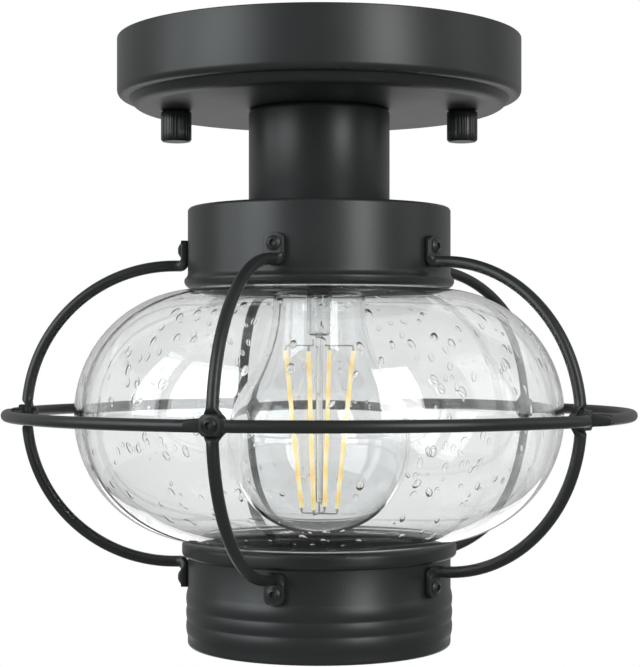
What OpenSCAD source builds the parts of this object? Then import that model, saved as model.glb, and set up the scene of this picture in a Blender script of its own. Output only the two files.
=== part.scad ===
// Porch ceiling lantern: a clear seeded globe in a riveted wire guard, held
// close under a round ceiling canopy. Millimetres, +Z up. The origin is where
// the lantern's axis meets the ceiling, so every piece lies below z = 0.

/* [Canopy] */
// Outer diameter of the canopy
canopy_d = 130.2; // [126:0.2:140]
// Depth of the canopy from the ceiling to its flat centre disc
canopy_h = 22.5; // [20:0.5:28]
// Height of the step from the rim's lower edge to the centre disc
step_h = 3.3; // [2:0.1:4]
// Width of the rounded step round the centre disc
step_w = 4.7; // [4.2:0.1:6]
// Flat ledge between the rim's rounding and the step
ledge_w = 1.5; // [0.6:0.1:3]
// Rounding of the rim's lower edge
rim_r = 2.4; // [1.6:0.1:4]
// Thickness of the spun steel of the canopy, the stem and both cups
sheet_t = 1.0; // [0.8:0.1:1.4]

/* [Ceiling bracket] */
// Thickness of the bracket's steel
bracket_t = 1.6; // [1.2:0.1:2]
// Width of the bracket's arms
bracket_w = 16; // [14:0.5:20]
// How far the two stud arms are set down below the ceiling
bracket_drop = 2.4; // [2:0.1:3]
// Distance between the two studs
stud_spacing = 92.6; // [90:0.2:96]
// Diameter of the threaded studs
stud_d = 4.1; // [3.8:0.1:4.8]
// Closest spacing of the ceiling box's screws that the slots take
box_near = 69.8; // [68:0.1:74]
// Widest spacing of the ceiling box's screws that the slots take
box_far = 88.9; // [85:0.1:92]
// Width of the slots for the ceiling box's screws
slot_w = 4.8; // [4.4:0.1:5.2]
// Diameter of the ground screw
ground_d = 4.8; // [4:0.1:5]

/* [Cap nuts] */
// Diameter of a knurled cap nut
cap_nut_d = 9.9; // [9:0.1:12]
// Height of a knurled cap nut
cap_nut_h = 10.2; // [9:0.1:13]
// Chamfer of a cap nut's two ends
cap_nut_edge = 0.9; // [0.4:0.1:1.4]
// Number of knurling grooves round a cap nut
knurl_count = 32; // [24:1:36]
// Depth of a knurling groove
knurl_depth = 0.3; // [0.2:0.05:0.4]
// Running clearance between a stud and its cap nut
turn_clear = 0.05; // [0.02:0.01:0.09]

/* [Stem and nipple] */
// Outer diameter of the stem
stem_d = 45.6; // [43:0.2:54]
// Height of the stem
stem_h = 31.7; // [28:0.1:44]
// Rounding of the stem's upper edge
stem_edge_r = 1.5; // [1.2:0.1:3]
// Diameter of the threaded nipple
nipple_d = 9.7; // [9.4:0.1:10.4]
// Bore of the nipple, which the lead wires pass through
nipple_bore_d = 6.6; // [6:0.1:7.2]
// Width across the flats of the nipple's hexagon nuts
nipple_nut_w = 14; // [13:0.5:17]
// Height of the nipple's hexagon nuts
nipple_nut_h = 3; // [2.5:0.1:4]

/* [Cups] */
// Outer diameter of both cups' walls
cup_d = 84.9; // [83:0.1:88]
// Height of the upper cup
upper_cup_h = 26; // [24.5:0.1:30]
// Rounding of the upper cup's top edge
cup_edge_r = 1.3; // [1.1:0.1:2.5]
// Radius of the rolled bead's lower side, at the upper cup's lower edge
bead_r = 2.43; // [2.3:0.01:3]
// Radius of the bead's upper side
bead_top_r = 1.1; // [0.8:0.1:2]
// Hollow rounding between the cup's wall and the bead
bead_fillet_r = 2.5; // [1.5:0.1:4]
// How far the bead stands out from the wall
bead_proud = 1.15; // [0.8:0.05:1.4]
// Open distance between the two cups, which the globe fills
cup_gap = 80.8; // [78:0.2:86]
// Height of the lower cup
lower_cup_h = 34; // [31:0.1:40]
// How far the flange round the lower cup's top stands out from the wall
flange_w = 1.85; // [1.4:0.05:3]
// Height of that flange
flange_h = 5.15; // [4:0.05:5.5]
// Rounding of the flange's upper edge
flange_top_r = 1.75; // [0.6:0.05:2.2]
// Rounding of the flange's lower edge
flange_under_r = 1.3; // [0.5:0.1:1.4]
// Number of rolled ribs near the foot of the lower cup
rib_count = 3; // [2:1:3]
// Distance between two ribs
rib_pitch = 4.43; // [3.5:0.01:5]
// How far a rib stands out from the wall
rib_proud = 0.52; // [0.45:0.01:0.8]
// How far the valley between two ribs stands out from the wall
rib_valley = 0.25; // [0.1:0.01:0.35]
// Plain wall between the lowest rib and the foot
foot_plain = 2; // [1:0.1:4]
// Rounding of the foot's outer edge
foot_r = 1.3; // [1.1:0.1:2]
// Width of the lip turned in round the open foot
foot_lip = 4; // [2.5:0.1:6]

/* [Globe] */
// Largest diameter of the globe
globe_d = 156.8; // [150:0.2:164]
// Thickness of the globe's glass, measured level: it thins towards the necks
glass_t = 2.5; // [2:0.1:3.4]
// Radius of the globe's flat shoulders
shoulder_r = 110; // [90:1:140]
// Turn of the globe's side, from its equator up to the shoulder
side_turn = 60.5; // [56:0.5:64]
// Thickness of the soft band between the upper cup and the globe's neck
band_t = 1.25; // [0.8:0.05:2]
// Straight length of a neck
neck_h = 3.2; // [2.4:0.1:4]
// Hollow rounding between a neck and the shoulder
neck_r = 2; // [1.5:0.1:3]
// Gap between the globe's shoulders and the cups
globe_clear = 0.3; // [0.2:0.1:0.6]
// Thickness of the ring that the globe's lower rim rests on
gasket_t = 1; // [0.8:0.1:2]
// Width of the seat ring under the globe, from the cup's wall inwards
seat_w = 2.95; // [2.4:0.05:5.5]
// Height of the seat ring's skirt, which is welded to the lower cup
seat_skirt = 3.6; // [2.5:0.1:3.8]

/* [Wire guard] */
// Diameter of the guard's wire
wire_d = 3.6; // [3:0.1:4.2]
// Outer diameter of the guard ring
ring_d = 203.2; // [196:0.2:214]
// Height of an arm's wire above the upper cup's lower edge, where it leaves the cup
arm_rise = 7.4; // [7:0.1:9.4]
// Step of the ring's wire outwards from its riveted pads
ring_step = 2.75; // [2:0.05:3.5]
// Thickness of the flattened pads of the ring and the arms
pad_t = 2.1; // [1.8:0.1:2.6]
// Height of the pads
pad_h = 6; // [5.4:0.1:8]
// Width of an arm's pad
arm_pad_w = 7.2; // [6.6:0.1:9]
// Width of a ring's pad
ring_pad_w = 6.2; // [5.6:0.1:8]
// Length of the slope between a pad and the round wire
pad_slope = 1.6; // [1:0.1:2.4]
// Width of the flattened tab at each end of an arm
tab_w = 6.4; // [5.6:0.1:8]
// Thickness of that tab
tab_t = 2.2; // [1.8:0.1:2.8]
// Outer radius of the bend between the arm and its tab
tab_bend_r = 2.6; // [2.4:0.1:3.4]
// Height of the cup rivet above the arm's wire
rivet_rise = 5; // [4.6:0.1:5.6]
// How far the tab reaches past its rivet
tab_over = 3.2; // [2.8:0.1:4]
// Corner rounding of the tabs
tab_corner_r = 2; // [1:0.1:2.6]
// Diameter of a rivet's shank
rivet_d = 3.2; // [2.8:0.1:3.6]
// Diameter of a rivet's head
rivet_head_d = 4.8; // [4.2:0.1:5.4]
// Height of a rivet's head
rivet_head_h = 1.3; // [1:0.1:1.6]
// Diameter of the hole down a rivet
rivet_hole_d = 1.8; // [1.2:0.1:2]

/* [Lamp socket] */
// Diameter of the porcelain socket
socket_d = 38.4; // [36:0.2:40]
// Height of the porcelain socket
socket_h = 37.5; // [36:0.5:42]
// How far the socket's mouth is set up inside the upper cup
socket_inset = 2.7; // [2:0.1:5]
// Depth of the socket's well
well_h = 30; // [29:0.5:32]
// Thickness of the screw shell
shell_t = 0.5; // [0.4:0.05:0.7]
// Clearance between the lamp's cap and the screw shell
shell_clear = 0.25; // [0.15:0.05:0.4]
// Spacing of the two screws that hold the socket to its bracket
socket_screw_spacing = 24; // [22:0.5:26]

/* [Lamp] */
// Diameter of the lamp's bulb
lamp_d = 59.3; // [55:0.1:63]
// Overall length of the lamp
lamp_h = 108; // [104:0.5:112]
// Diameter of the lamp's neck
lamp_neck_d = 29.8; // [28:0.1:32]
// Length of the straight part of the neck below the cap
lamp_neck_h = 9.5; // [7:0.5:12]
// Thickness of the lamp's glass
lamp_t = 0.8; // [0.6:0.1:1.2]
// Diameter of the lamp's screw cap over its thread
cap_d = 26.4; // [26:0.05:26.6]
// Height of the screw cap with its insulator and contact
cap_h = 26.6; // [25:0.1:28]
// Lead of the screw cap's thread
thread_pitch = 3.63; // [3.4:0.01:3.8]
// Radius of the circle that the filaments' upper ends stand on
filament_top_r = 11.5; // [9:0.1:13]
// Radius of the circle that the filaments' lower ends stand on
filament_foot_r = 6; // [4:0.1:8]
// Length of a filament, measured down the lamp's axis
filament_h = 49; // [36:0.5:52]
// Diameter of a filament
filament_d = 1.4; // [1.2:0.1:2]

/* [Hidden] */
$fn = 96;
arc_steps = 12;
cut = 0.5;            // overshoot of a cut past the face it opens
touch = 0.05;         // gap left where a flat piece lies on a round wall
hole_clear = 0.15;    // radial clearance of rivets and studs in their holes

// Levels, from the ceiling down
canopy_r = canopy_d / 2;
rim_z = -(canopy_h - step_h);
disc_z = -canopy_h;
disc_r = canopy_r - rim_r - ledge_w - step_w;
step_arc_r = (pow(step_w, 2) + pow(step_h, 2)) / (2 * step_h);
cup_top_z = disc_z - stem_h;
cup_edge_z = cup_top_z - upper_cup_h;
globe_z = cup_edge_z - cup_gap / 2;
lower_top_z = cup_edge_z - cup_gap;
foot_z = lower_top_z - lower_cup_h;
cup_r = cup_d / 2;
cup_in_r = cup_r - sheet_t;

// Ceiling bracket
stud_x = stud_spacing / 2;
stud_arm_z = -bracket_drop;
stud_head_h = bracket_drop - 0.4;
stud_end_z = disc_z - cap_nut_h + 3.2;
slot_y = (box_near + box_far) / 4;
slot_l = (box_far - box_near) / 2 + slot_w;
bracket_end = 5;      // metal left past a stud and past a slot
nut_wall = 2;         // wall of a small hexagon nut round its thread
ground_y = -20;
ground_stand = 4.5;   // how far the ground screw is left backed out

// Nipple, its nuts and the socket under them
nipple_r = nipple_d / 2;
washer_t = 0.8;
nipple_top_z = disc_z + sheet_t + washer_t + nipple_nut_h + 3;
socket_mouth_z = cup_edge_z + socket_inset;
socket_top_z = socket_mouth_z + socket_h;
socket_bracket_t = 1.2;
well_z = socket_mouth_z + well_h;
well_d = cap_d + 2 * (shell_clear + shell_t) + 0.4;
shell_r = cap_d / 2 + shell_clear;
socket_screw_d = 3.4;
socket_screw_l = 5;   // depth of the socket's screws in the porcelain
strap_end = 4.5;      // strap left past a screw
socket_hole_r = socket_d / 2 + 1.2;

// Globe: its side and its shoulder are two arcs that meet smoothly, and the
// side's radius follows from where the shoulder has to meet the cups
neck_out_r = cup_in_r - band_t;
seat_r = cup_in_r;
seat_open_r = seat_r - seat_w;
seat_h = cup_gap / 2 - globe_clear;
side_dx = seat_r - globe_d / 2 + shoulder_r;
side_a = 2 * (1 - cos(side_turn));
side_b = 2 * (seat_h * sin(side_turn) - side_dx * (1 - cos(side_turn)));
side_c = pow(side_dx, 2) + pow(seat_h, 2) - pow(shoulder_r, 2);
side_u = (-side_b + sqrt(pow(side_b, 2) - 4 * side_a * side_c)) / (2 * side_a);
side_r = shoulder_r - side_u;
side_x = globe_d / 2 - side_r;
shoulder_x = side_x - side_u * cos(side_turn);
shoulder_y = -side_u * sin(side_turn);
neck_x = neck_out_r + neck_r;
neck_y = shoulder_y + sqrt(pow(shoulder_r + neck_r, 2) - pow(neck_x - shoulder_x, 2));
shoulder_end = atan2(neck_y - shoulder_y, neck_x - shoulder_x);
globe_rim = neck_y + neck_h;
globe_foot_z = globe_z - globe_rim;
seat_z = globe_foot_z - gasket_t;

// Wire guard
wire_r = wire_d / 2;
ring_r = ring_d / 2 - wire_r;
ring_pad_out = ring_r - ring_step;
ring_pad_in = ring_pad_out - pad_t;
arm_pad_in = ring_pad_in - pad_t;
arm_out_r = arm_pad_in + wire_r;
tab_in_r = cup_r + touch;
tab_out_r = tab_in_r + tab_t;
arm_foot_r = tab_in_r + tab_bend_r + 1.75;
arm_h = cup_gap / 2 + arm_rise;
arm_reach = arm_out_r - arm_foot_r;
arm_bend_r = min(arm_h, arm_reach);
arm_level = arm_reach - arm_bend_r;   // level wire between a tab and the bend
arm_plumb = arm_h - arm_bend_r;       // upright wire between the bend and the middle
rivet_z = arm_h + rivet_rise;
tab_end = rivet_z + tab_over;
arm_angles = [for (k = [0:4]) 180 + 72 * k];
rivet_hole_r = rivet_d / 2 + hole_clear;
rivet_blind_d = rivet_d + 1.4;
rivet_blind_h = 1.5;

// Lamp
lamp_tip_z = socket_mouth_z + cap_h;
lamp_r = lamp_d / 2;
lamp_z = lamp_tip_z - lamp_h + lamp_r;
cap_foot_z = lamp_tip_z - cap_h;
cap_t = 0.4;
cap_in_r = cap_d / 2 - 0.9;
tip_h = 1.5;
insulator_h = 3;
neck_in_cap = 8;
lamp_flare_z = cap_foot_z - lamp_neck_h;
lamp_rise = lamp_flare_z - lamp_z;
lamp_neck_r = lamp_neck_d / 2;
lamp_flare_r = (pow(lamp_neck_r, 2) + pow(lamp_rise, 2) - pow(lamp_r, 2))
    / (2 * (lamp_r - lamp_neck_r));
lamp_flare_turn = atan2(lamp_rise, lamp_neck_r + lamp_flare_r);
mount_r = 3.9;        // radius of the glass tube that carries the filaments
mount_t = 0.8;
mount_foot_z = cap_foot_z - 19;
rod_r = 1;            // radius of the glass rod below that tube
filament_turn = -17.2;
filament_top_z = mount_foot_z - 4.8;
filament_foot_z = filament_top_z - filament_h;
rod_foot_z = filament_foot_z + 1.8;
wire_thin_r = 0.25;   // radius of the lamp's nickel wires
post_r = 0.45;        // radius of the upright pins that those wires end in
top_wire_z = filament_top_z + 1.6;
foot_wire_z = filament_foot_z - 1.6;

black = [0.16, 0.17, 0.175];
zinc = [0.72, 0.73, 0.74];
brass = [0.78, 0.62, 0.3];
porcelain = [0.93, 0.92, 0.89];
rubber = [0.55, 0.55, 0.53];
clear_glass = [0.85, 0.92, 0.94, 0.35];

// ---- helpers ----

// Points on an arc round c, from angle a to angle b
function arc(c, r, a, b, n = arc_steps) =
    [for (i = [0:n]) let (t = a + (b - a) * i / n) c + r * [cos(t), sin(t)]];

// A list of points in the opposite order
function reversed(p) = [for (i = [len(p) - 1:-1:0]) p[i]];

// A round rod from point p to point q
module rod(p, q, r) {
    d = q - p;
    l = norm(d);
    translate(p) rotate([0, acos(d[2] / l), atan2(d[1], d[0])])
        cylinder(h = l, r = r, $fn = 24);
}

// A cylinder that starts at radius x and points outwards along X
module outward(x, l, r1, r2) {
    translate([x, 0, 0]) rotate([0, 90, 0]) cylinder(h = l, r1 = r1, r2 = r2, $fn = 48);
}

// A profile in X and Z, made w thick across Y and centred
module across(w) {
    translate([0, w / 2, 0]) rotate([90, 0, 0]) linear_extrude(w) children();
}

// Copies its children to the five places of the guard's arms
module at_arms() {
    for (a = arm_angles) rotate([0, 0, a]) children();
}

// A hexagon nut, w across its flats, standing on z = 0
module hex_nut(w, h, hole_r) {
    difference() {
        cylinder(h = h, r = w / 2 / cos(30), $fn = 6);
        translate([0, 0, -cut]) cylinder(h = h + 2 * cut, r = hole_r);
    }
}

// A flat plate with rounded corners, l long in X and w wide in Y
module round_plate(l, w, h, r) {
    linear_extrude(h) polygon(concat(
        arc([l / 2 - r, w / 2 - r], r, 0, 90, 6), arc([-l / 2 + r, w / 2 - r], r, 90, 180, 6),
        arc([-l / 2 + r, -w / 2 + r], r, 180, 270, 6), arc([l / 2 - r, -w / 2 + r], r, 270, 360, 6)));
}

// ---- ceiling side ----

// Outline of the canopy's sheet, from the ceiling in to the nipple's hole
canopy_outline = concat(
    [[canopy_r, 0]],
    arc([canopy_r - rim_r, rim_z + rim_r], rim_r, 0, -90),
    arc([disc_r, disc_z + step_arc_r], step_arc_r, asin((rim_z - disc_z) / step_arc_r - 1), -90),
    [[nipple_r, disc_z], [nipple_r, disc_z + sheet_t]],
    arc([disc_r, disc_z + step_arc_r], step_arc_r - sheet_t, -90,
        asin((rim_z + sheet_t - disc_z - step_arc_r) / (step_arc_r - sheet_t))),
    arc([canopy_r - rim_r, rim_z + rim_r], rim_r - sheet_t, -90, 0),
    [[canopy_r - sheet_t, 0]]);

// Spun steel canopy with a stepped centre disc
module canopy() {
    color(black) difference() {
        rotate_extrude() polygon(canopy_outline);
        for (side = [-1, 1]) translate([side * stud_x, 0, disc_z - cut])
            cylinder(h = sheet_t + 2 * cut, r = stud_d / 2 + hole_clear);
    }
}

// Stamped cross bracket: two arms flat on the ceiling with slots for the
// ceiling box, and two arms set down for the studs
module mounting_bracket() {
    stud_end = stud_x + stud_d / 2 + bracket_end;
    slot_end = slot_y + slot_l / 2 + bracket_end;
    bend_x = bracket_w / 2 + 6;
    bend_l = bracket_drop;
    half = [[0, 0], [bend_x, 0], [bend_x + bend_l, stud_arm_z], [stud_end, stud_arm_z],
        [stud_end, stud_arm_z - bracket_t], [bend_x + bend_l, stud_arm_z - bracket_t],
        [bend_x, -bracket_t], [0, -bracket_t]];
    mirrored = [for (p = half) [-p[0], p[1]]];
    color(zinc) difference() {
        union() {
            across(bracket_w) polygon(concat(half, reversed(mirrored)));
            translate([0, 0, -bracket_t])
                round_plate(bracket_w, 2 * slot_end, bracket_t, bracket_w / 4);
        }
        translate([0, 0, -bracket_t - cut])
            cylinder(h = bracket_t + 2 * cut, r = nipple_r);
        for (side = [-1, 1]) {
            translate([side * stud_x, 0, stud_arm_z - bracket_t - cut])
                cylinder(h = bracket_t + 2 * cut, r = stud_d / 2);
            translate([0, side * slot_y, -bracket_t - cut]) slot();
        }
        translate([0, ground_y, -bracket_t - cut])
            cylinder(h = bracket_t + 2 * cut, r = ground_d / 2);
    }
}

// One through slot along Y for a ceiling box's screw
module slot() {
    reach = (slot_l - slot_w) / 2;
    linear_extrude(bracket_t + 2 * cut) union() {
        translate([-slot_w / 2, -reach]) square([slot_w, 2 * reach]);
        for (side = [-1, 1]) translate([0, side * reach]) circle(d = slot_w);
    }
}

// Two long machine screws that point down through the canopy
module mounting_studs() {
    color(zinc) for (side = [-1, 1]) translate([side * stud_x, 0, 0]) union() {
        translate([0, 0, stud_arm_z]) cylinder(h = stud_head_h, r = stud_d);
        translate([0, 0, stud_end_z]) cylinder(h = stud_arm_z - stud_end_z, r = stud_d / 2);
    }
}

// The lock nuts that hold the studs in the bracket
module stud_nuts() {
    color(zinc) for (side = [-1, 1])
        translate([side * stud_x, 0, stud_arm_z - bracket_t - nipple_nut_h])
            hex_nut(stud_d + 2 * nut_wall, nipple_nut_h, stud_d / 2);
}

// A blind knurled nut with its flat top against the canopy
module cap_nut() {
    r = cap_nut_d / 2;
    stop = disc_z - stud_end_z + cut;
    color(black) difference() {
        rotate_extrude() polygon([
            [0, 0], [r - cap_nut_edge, 0], [r, -cap_nut_edge],
            [r, cap_nut_edge - cap_nut_h], [r - cap_nut_edge, -cap_nut_h], [0, -cap_nut_h]]);
        translate([0, 0, -stop]) cylinder(h = stop + cut, r = stud_d / 2 + turn_clear);
        for (i = [0:knurl_count - 1]) rotate([0, 0, i * 360 / knurl_count])
            translate([r, 0, -cap_nut_h - cut]) rotate([0, 0, 45])
                translate([-knurl_depth / sqrt(2), -knurl_depth / sqrt(2), 0])
                    cube([knurl_depth * sqrt(2), knurl_depth * sqrt(2), cap_nut_h + 2 * cut]);
    }
}

module thumb_nut_left() { translate([-stud_x, 0, disc_z]) cap_nut(); }
module thumb_nut_right() { translate([stud_x, 0, disc_z]) cap_nut(); }

// Ground screw, backed out far enough to take a wire under its head
module ground_screw() {
    head_z = -bracket_t - ground_stand;
    color([0.15, 0.45, 0.25]) translate([0, ground_y, 0]) union() {
        translate([0, 0, head_z]) cylinder(h = -head_z - 0.2, r = ground_d / 2);
        translate([0, 0, head_z - ground_d / 2])
            cylinder(h = ground_d / 2, r = ground_d * 0.9, $fn = 6);
    }
}

// ---- stem, nipple and socket ----

// Drawn steel stem, closed at the top round the nipple
module stem() {
    r = stem_d / 2;
    color(black) rotate_extrude() polygon(concat(
        [[nipple_r, disc_z]],
        arc([r - stem_edge_r, disc_z - stem_edge_r], stem_edge_r, 90, 0, 8),
        [[r, cup_top_z], [r - sheet_t, cup_top_z]],
        arc([r - stem_edge_r, disc_z - stem_edge_r], stem_edge_r - sheet_t, 0, 90, 4),
        [[nipple_r, disc_z - sheet_t]]));
}

// Hollow threaded nipple from the canopy down to the socket's bracket
module nipple() {
    color(zinc) difference() {
        translate([0, 0, socket_top_z])
            cylinder(h = nipple_top_z - socket_top_z, r = nipple_r);
        translate([0, 0, socket_top_z - cut])
            cylinder(h = nipple_top_z - socket_top_z + 2 * cut, r = nipple_bore_d / 2);
    }
}

// Three hexagon nuts: over the canopy, under the stem's top, on the bracket
module nipple_nuts() {
    color(zinc) {
        translate([0, 0, disc_z + sheet_t + washer_t]) hex_nut(nipple_nut_w, nipple_nut_h, nipple_r);
        translate([0, 0, disc_z - sheet_t - nipple_nut_h]) hex_nut(nipple_nut_w, nipple_nut_h, nipple_r);
        translate([0, 0, socket_top_z + socket_bracket_t]) hex_nut(nipple_nut_w, nipple_nut_h, nipple_r);
    }
}

// Toothed lock washer under the canopy's nut
module lock_washer() {
    teeth = 10;
    r = nipple_nut_w / 2 + 1.4;
    color(zinc) translate([0, 0, disc_z + sheet_t]) difference() {
        cylinder(h = washer_t, r = r);
        translate([0, 0, -cut]) cylinder(h = washer_t + 2 * cut, r = nipple_r);
        for (i = [0:teeth - 1]) rotate([0, 0, i * 360 / teeth])
            translate([r, 0, -cut]) cylinder(h = washer_t + 2 * cut, r = 0.9, $fn = 24);
    }
}

// Flat steel strap that carries the socket on the nipple's end
module socket_bracket() {
    color(zinc) translate([0, 0, socket_top_z]) difference() {
        round_plate(socket_screw_spacing + 2 * strap_end, nipple_nut_w - 2, socket_bracket_t, 4);
        translate([0, 0, -cut]) cylinder(h = socket_bracket_t + 2 * cut, r = nipple_r);
        for (side = [-1, 1]) translate([side * socket_screw_spacing / 2, 0, -cut])
            cylinder(h = socket_bracket_t + 2 * cut, r = socket_screw_d / 2);
    }
}

// Two screws down through the strap into the porcelain
module socket_screws() {
    color(zinc) for (side = [-1, 1])
        translate([side * socket_screw_spacing / 2, 0, socket_top_z + socket_bracket_t]) union() {
            cylinder(h = 1.6, r = socket_screw_d * 0.9);
            translate([0, 0, -socket_bracket_t - socket_screw_l])
                cylinder(h = socket_bracket_t + socket_screw_l, r = socket_screw_d / 2);
        }
}

// Glazed porcelain socket: a narrower head, a straight body and a deep well
module socket_body() {
    r = socket_d / 2;
    color(porcelain) difference() {
        rotate_extrude() polygon([
            [0, socket_top_z], [r - 2.6, socket_top_z], [r - 1.8, socket_top_z - 0.8],
            [r - 1.8, socket_top_z - 6], [r, socket_top_z - 7.6],
            [r, socket_mouth_z + 1.2], [r - 1.2, socket_mouth_z],
            [well_d / 2, socket_mouth_z], [well_d / 2, well_z], [0, well_z]]);
        for (side = [-1, 1])
            translate([side * socket_screw_spacing / 2, 0, socket_top_z - socket_screw_l - cut])
                cylinder(h = socket_screw_l + 2 * cut, r = socket_screw_d / 2);
    }
}

// Screw shell with a turned-in base on the floor of the well
module socket_shell() {
    shell_mouth = socket_mouth_z + 1;
    color(brass) rotate_extrude() polygon([
        [6.5, well_z], [shell_r + shell_t, well_z], [shell_r + shell_t, shell_mouth],
        [shell_r, shell_mouth], [shell_r, well_z - shell_t], [6.5, well_z - shell_t]]);
}

// Bent brass tongue that the lamp's tip presses on
module socket_contact() {
    t = 0.5;
    color(brass) across(5) polygon([
        [-5, well_z], [5, well_z], [5, well_z - t], [-3.6, well_z - t],
        [-1.6, lamp_tip_z + t], [2.6, lamp_tip_z + t], [2.6, lamp_tip_z],
        [-2, lamp_tip_z], [-4.6, well_z - t], [-5, well_z - t]]);
}

// ---- cups, globe and what it sits in ----

bead_x = cup_r + bead_proud - bead_r;
bead_z = cup_edge_z + sqrt(pow(bead_r, 2) - pow(cup_in_r - bead_x, 2));
bead_turn = acos(1 - bead_proud / (bead_top_r + bead_fillet_r));
bead_top_z = bead_z + (bead_top_r + bead_fillet_r) * sin(bead_turn);

// Drawn upper cup with a rolled bead round its lower edge
module upper_cup() {
    color(black) difference() {
        rotate_extrude() polygon(concat(
            [[socket_hole_r, cup_top_z]],
            arc([cup_r - cup_edge_r, cup_top_z - cup_edge_r], cup_edge_r, 90, 0, 8),
            arc([cup_r + bead_fillet_r, bead_top_z], bead_fillet_r, 180, 180 + bead_turn, 5),
            arc([cup_r + bead_proud - bead_top_r, bead_z], bead_top_r, bead_turn, 0, 5),
            arc([bead_x, bead_z], bead_r, 0, -acos((cup_in_r - bead_x) / bead_r), 8),
            arc([cup_r - cup_edge_r, cup_top_z - cup_edge_r], cup_edge_r - sheet_t, 0, 90, 4),
            [[socket_hole_r, cup_top_z - sheet_t]]));
        at_arms() translate([0, 0, globe_z + rivet_z])
            outward(cup_in_r - 2, sheet_t + 4, rivet_hole_r, rivet_hole_r);
    }
}

// Soft band that centres the globe's upper neck in the cup
module upper_gasket() {
    color(rubber) translate([0, 0, globe_z + globe_rim - neck_h]) difference() {
        cylinder(h = neck_h, r = cup_in_r);
        translate([0, 0, -cut]) cylinder(h = neck_h + 2 * cut, r = neck_out_r);
    }
}

// Half of the globe's outline above its equator
function globe_half() = concat(
    arc([side_x, 0], side_r, 0, side_turn, 18),
    arc([shoulder_x, shoulder_y], shoulder_r, side_turn, shoulder_end, 12),
    arc([neck_x, neck_y], neck_r, shoulder_end - 180, -180, 8),
    [[neck_out_r, globe_rim]]);

// Both halves of that outline, from the lower rim to the upper, moved in by d
function globe_side(d) = let (h = globe_half())
    concat(reversed([for (p = h) [p[0] - d, -p[1]]]), [for (p = h) [p[0] - d, p[1]]]);

// Clear seeded glass globe, open at both necks
module globe() {
    color(clear_glass) translate([0, 0, globe_z]) rotate_extrude($fn = 128)
        polygon(concat(globe_side(0), reversed(globe_side(glass_t))));
}

// Soft ring between the globe's lower rim and the seat ring
module lower_gasket() {
    color(rubber) translate([0, 0, seat_z]) difference() {
        cylinder(h = gasket_t, r = cup_in_r - touch);
        translate([0, 0, -cut]) cylinder(h = gasket_t + 2 * cut, r = seat_open_r);
    }
}

// Pressed ring welded inside the lower cup, which the globe stands on
module seat_ring() {
    color(black) rotate_extrude() polygon([
        [seat_open_r, seat_z], [cup_in_r, seat_z], [cup_in_r, seat_z - seat_skirt],
        [cup_in_r - sheet_t, seat_z - seat_skirt], [cup_in_r - sheet_t, seat_z - sheet_t],
        [seat_open_r, seat_z - sheet_t]]);
}

// Ribs are arcs of one radius. They meet in the valleys, and the outer two run out to the wall.
rib_rise = rib_proud - rib_valley;
rib_arc_r = (pow(rib_pitch / 2, 2) + pow(rib_rise, 2)) / (2 * rib_rise);
rib_turn = asin(rib_pitch / 2 / rib_arc_r);
rib_end_turn = acos(1 - rib_proud / rib_arc_r);
rib_foot_z = foot_z + foot_r + foot_plain + rib_arc_r * sin(rib_end_turn);
flange_r = cup_r + flange_w;

// Drawn lower cup: a flange at the top, three ribs, a lip round the open foot
module lower_cup() {
    flange_foot_z = lower_top_z - flange_h;
    color(black) difference() {
        rotate_extrude() polygon(concat(
            [[cup_in_r, lower_top_z]],
            arc([flange_r - flange_top_r, lower_top_z - flange_top_r], flange_top_r, 90, 0, 6),
            arc([flange_r - flange_under_r, flange_foot_z + flange_under_r], flange_under_r, 0, -90, 6),
            [[cup_r, flange_foot_z]],
            [for (i = [rib_count - 1:-1:0])
                each arc([cup_r + rib_proud - rib_arc_r, rib_foot_z + i * rib_pitch], rib_arc_r,
                    i == rib_count - 1 ? rib_end_turn : rib_turn, i == 0 ? -rib_end_turn : -rib_turn, 8)],
            arc([cup_r - foot_r, foot_z + foot_r], foot_r, 0, -90, 6),
            [[cup_r - foot_lip, foot_z], [cup_r - foot_lip, foot_z + sheet_t]],
            arc([cup_r - foot_r, foot_z + foot_r], foot_r - sheet_t, -90, 0, 4)));
        at_arms() translate([0, 0, globe_z - rivet_z])
            outward(cup_in_r - 2, sheet_t + 4, rivet_hole_r, rivet_hole_r);
    }
}

// ---- wire guard ----

// Bent tab at the upper end of an arm, measured from the guard's middle
module arm_tab() {
    low = arm_h - wire_r;
    top = arm_h + wire_r;
    inner = 0.5;
    half_w = tab_w / 2;
    intersection() {
        across(tab_w) polygon(concat(
            [[tab_out_r + inner, top]],
            arc([tab_out_r + inner, top + inner], inner, 270, 180, 4),
            [[tab_out_r, tab_end], [tab_in_r, tab_end]],
            arc([tab_in_r + tab_bend_r, low + tab_bend_r], tab_bend_r, 180, 270, 8),
            [[tab_out_r + inner, low]]));
        translate([tab_in_r - 1, 0, 0]) rotate([90, 0, 90]) linear_extrude(tab_t + 4)
            polygon(concat(
                arc([half_w - tab_corner_r, tab_end - tab_corner_r], tab_corner_r, 0, 90, 8),
                arc([tab_corner_r - half_w, tab_end - tab_corner_r], tab_corner_r, 90, 180, 8),
                [[-half_w, low - 1], [half_w, low - 1]]));
    }
    // the wire spreads sideways from round to the tab's width
    spread_x = tab_in_r + tab_bend_r - 0.4;
    spread_l = arm_foot_r + 0.3 - spread_x;
    intersection() {
        translate([0, 0, arm_h]) outward(spread_x, spread_l, half_w, wire_r - 0.1);
        translate([spread_x, -half_w, low]) cube([spread_l, tab_w, wire_d]);
    }
}

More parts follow.
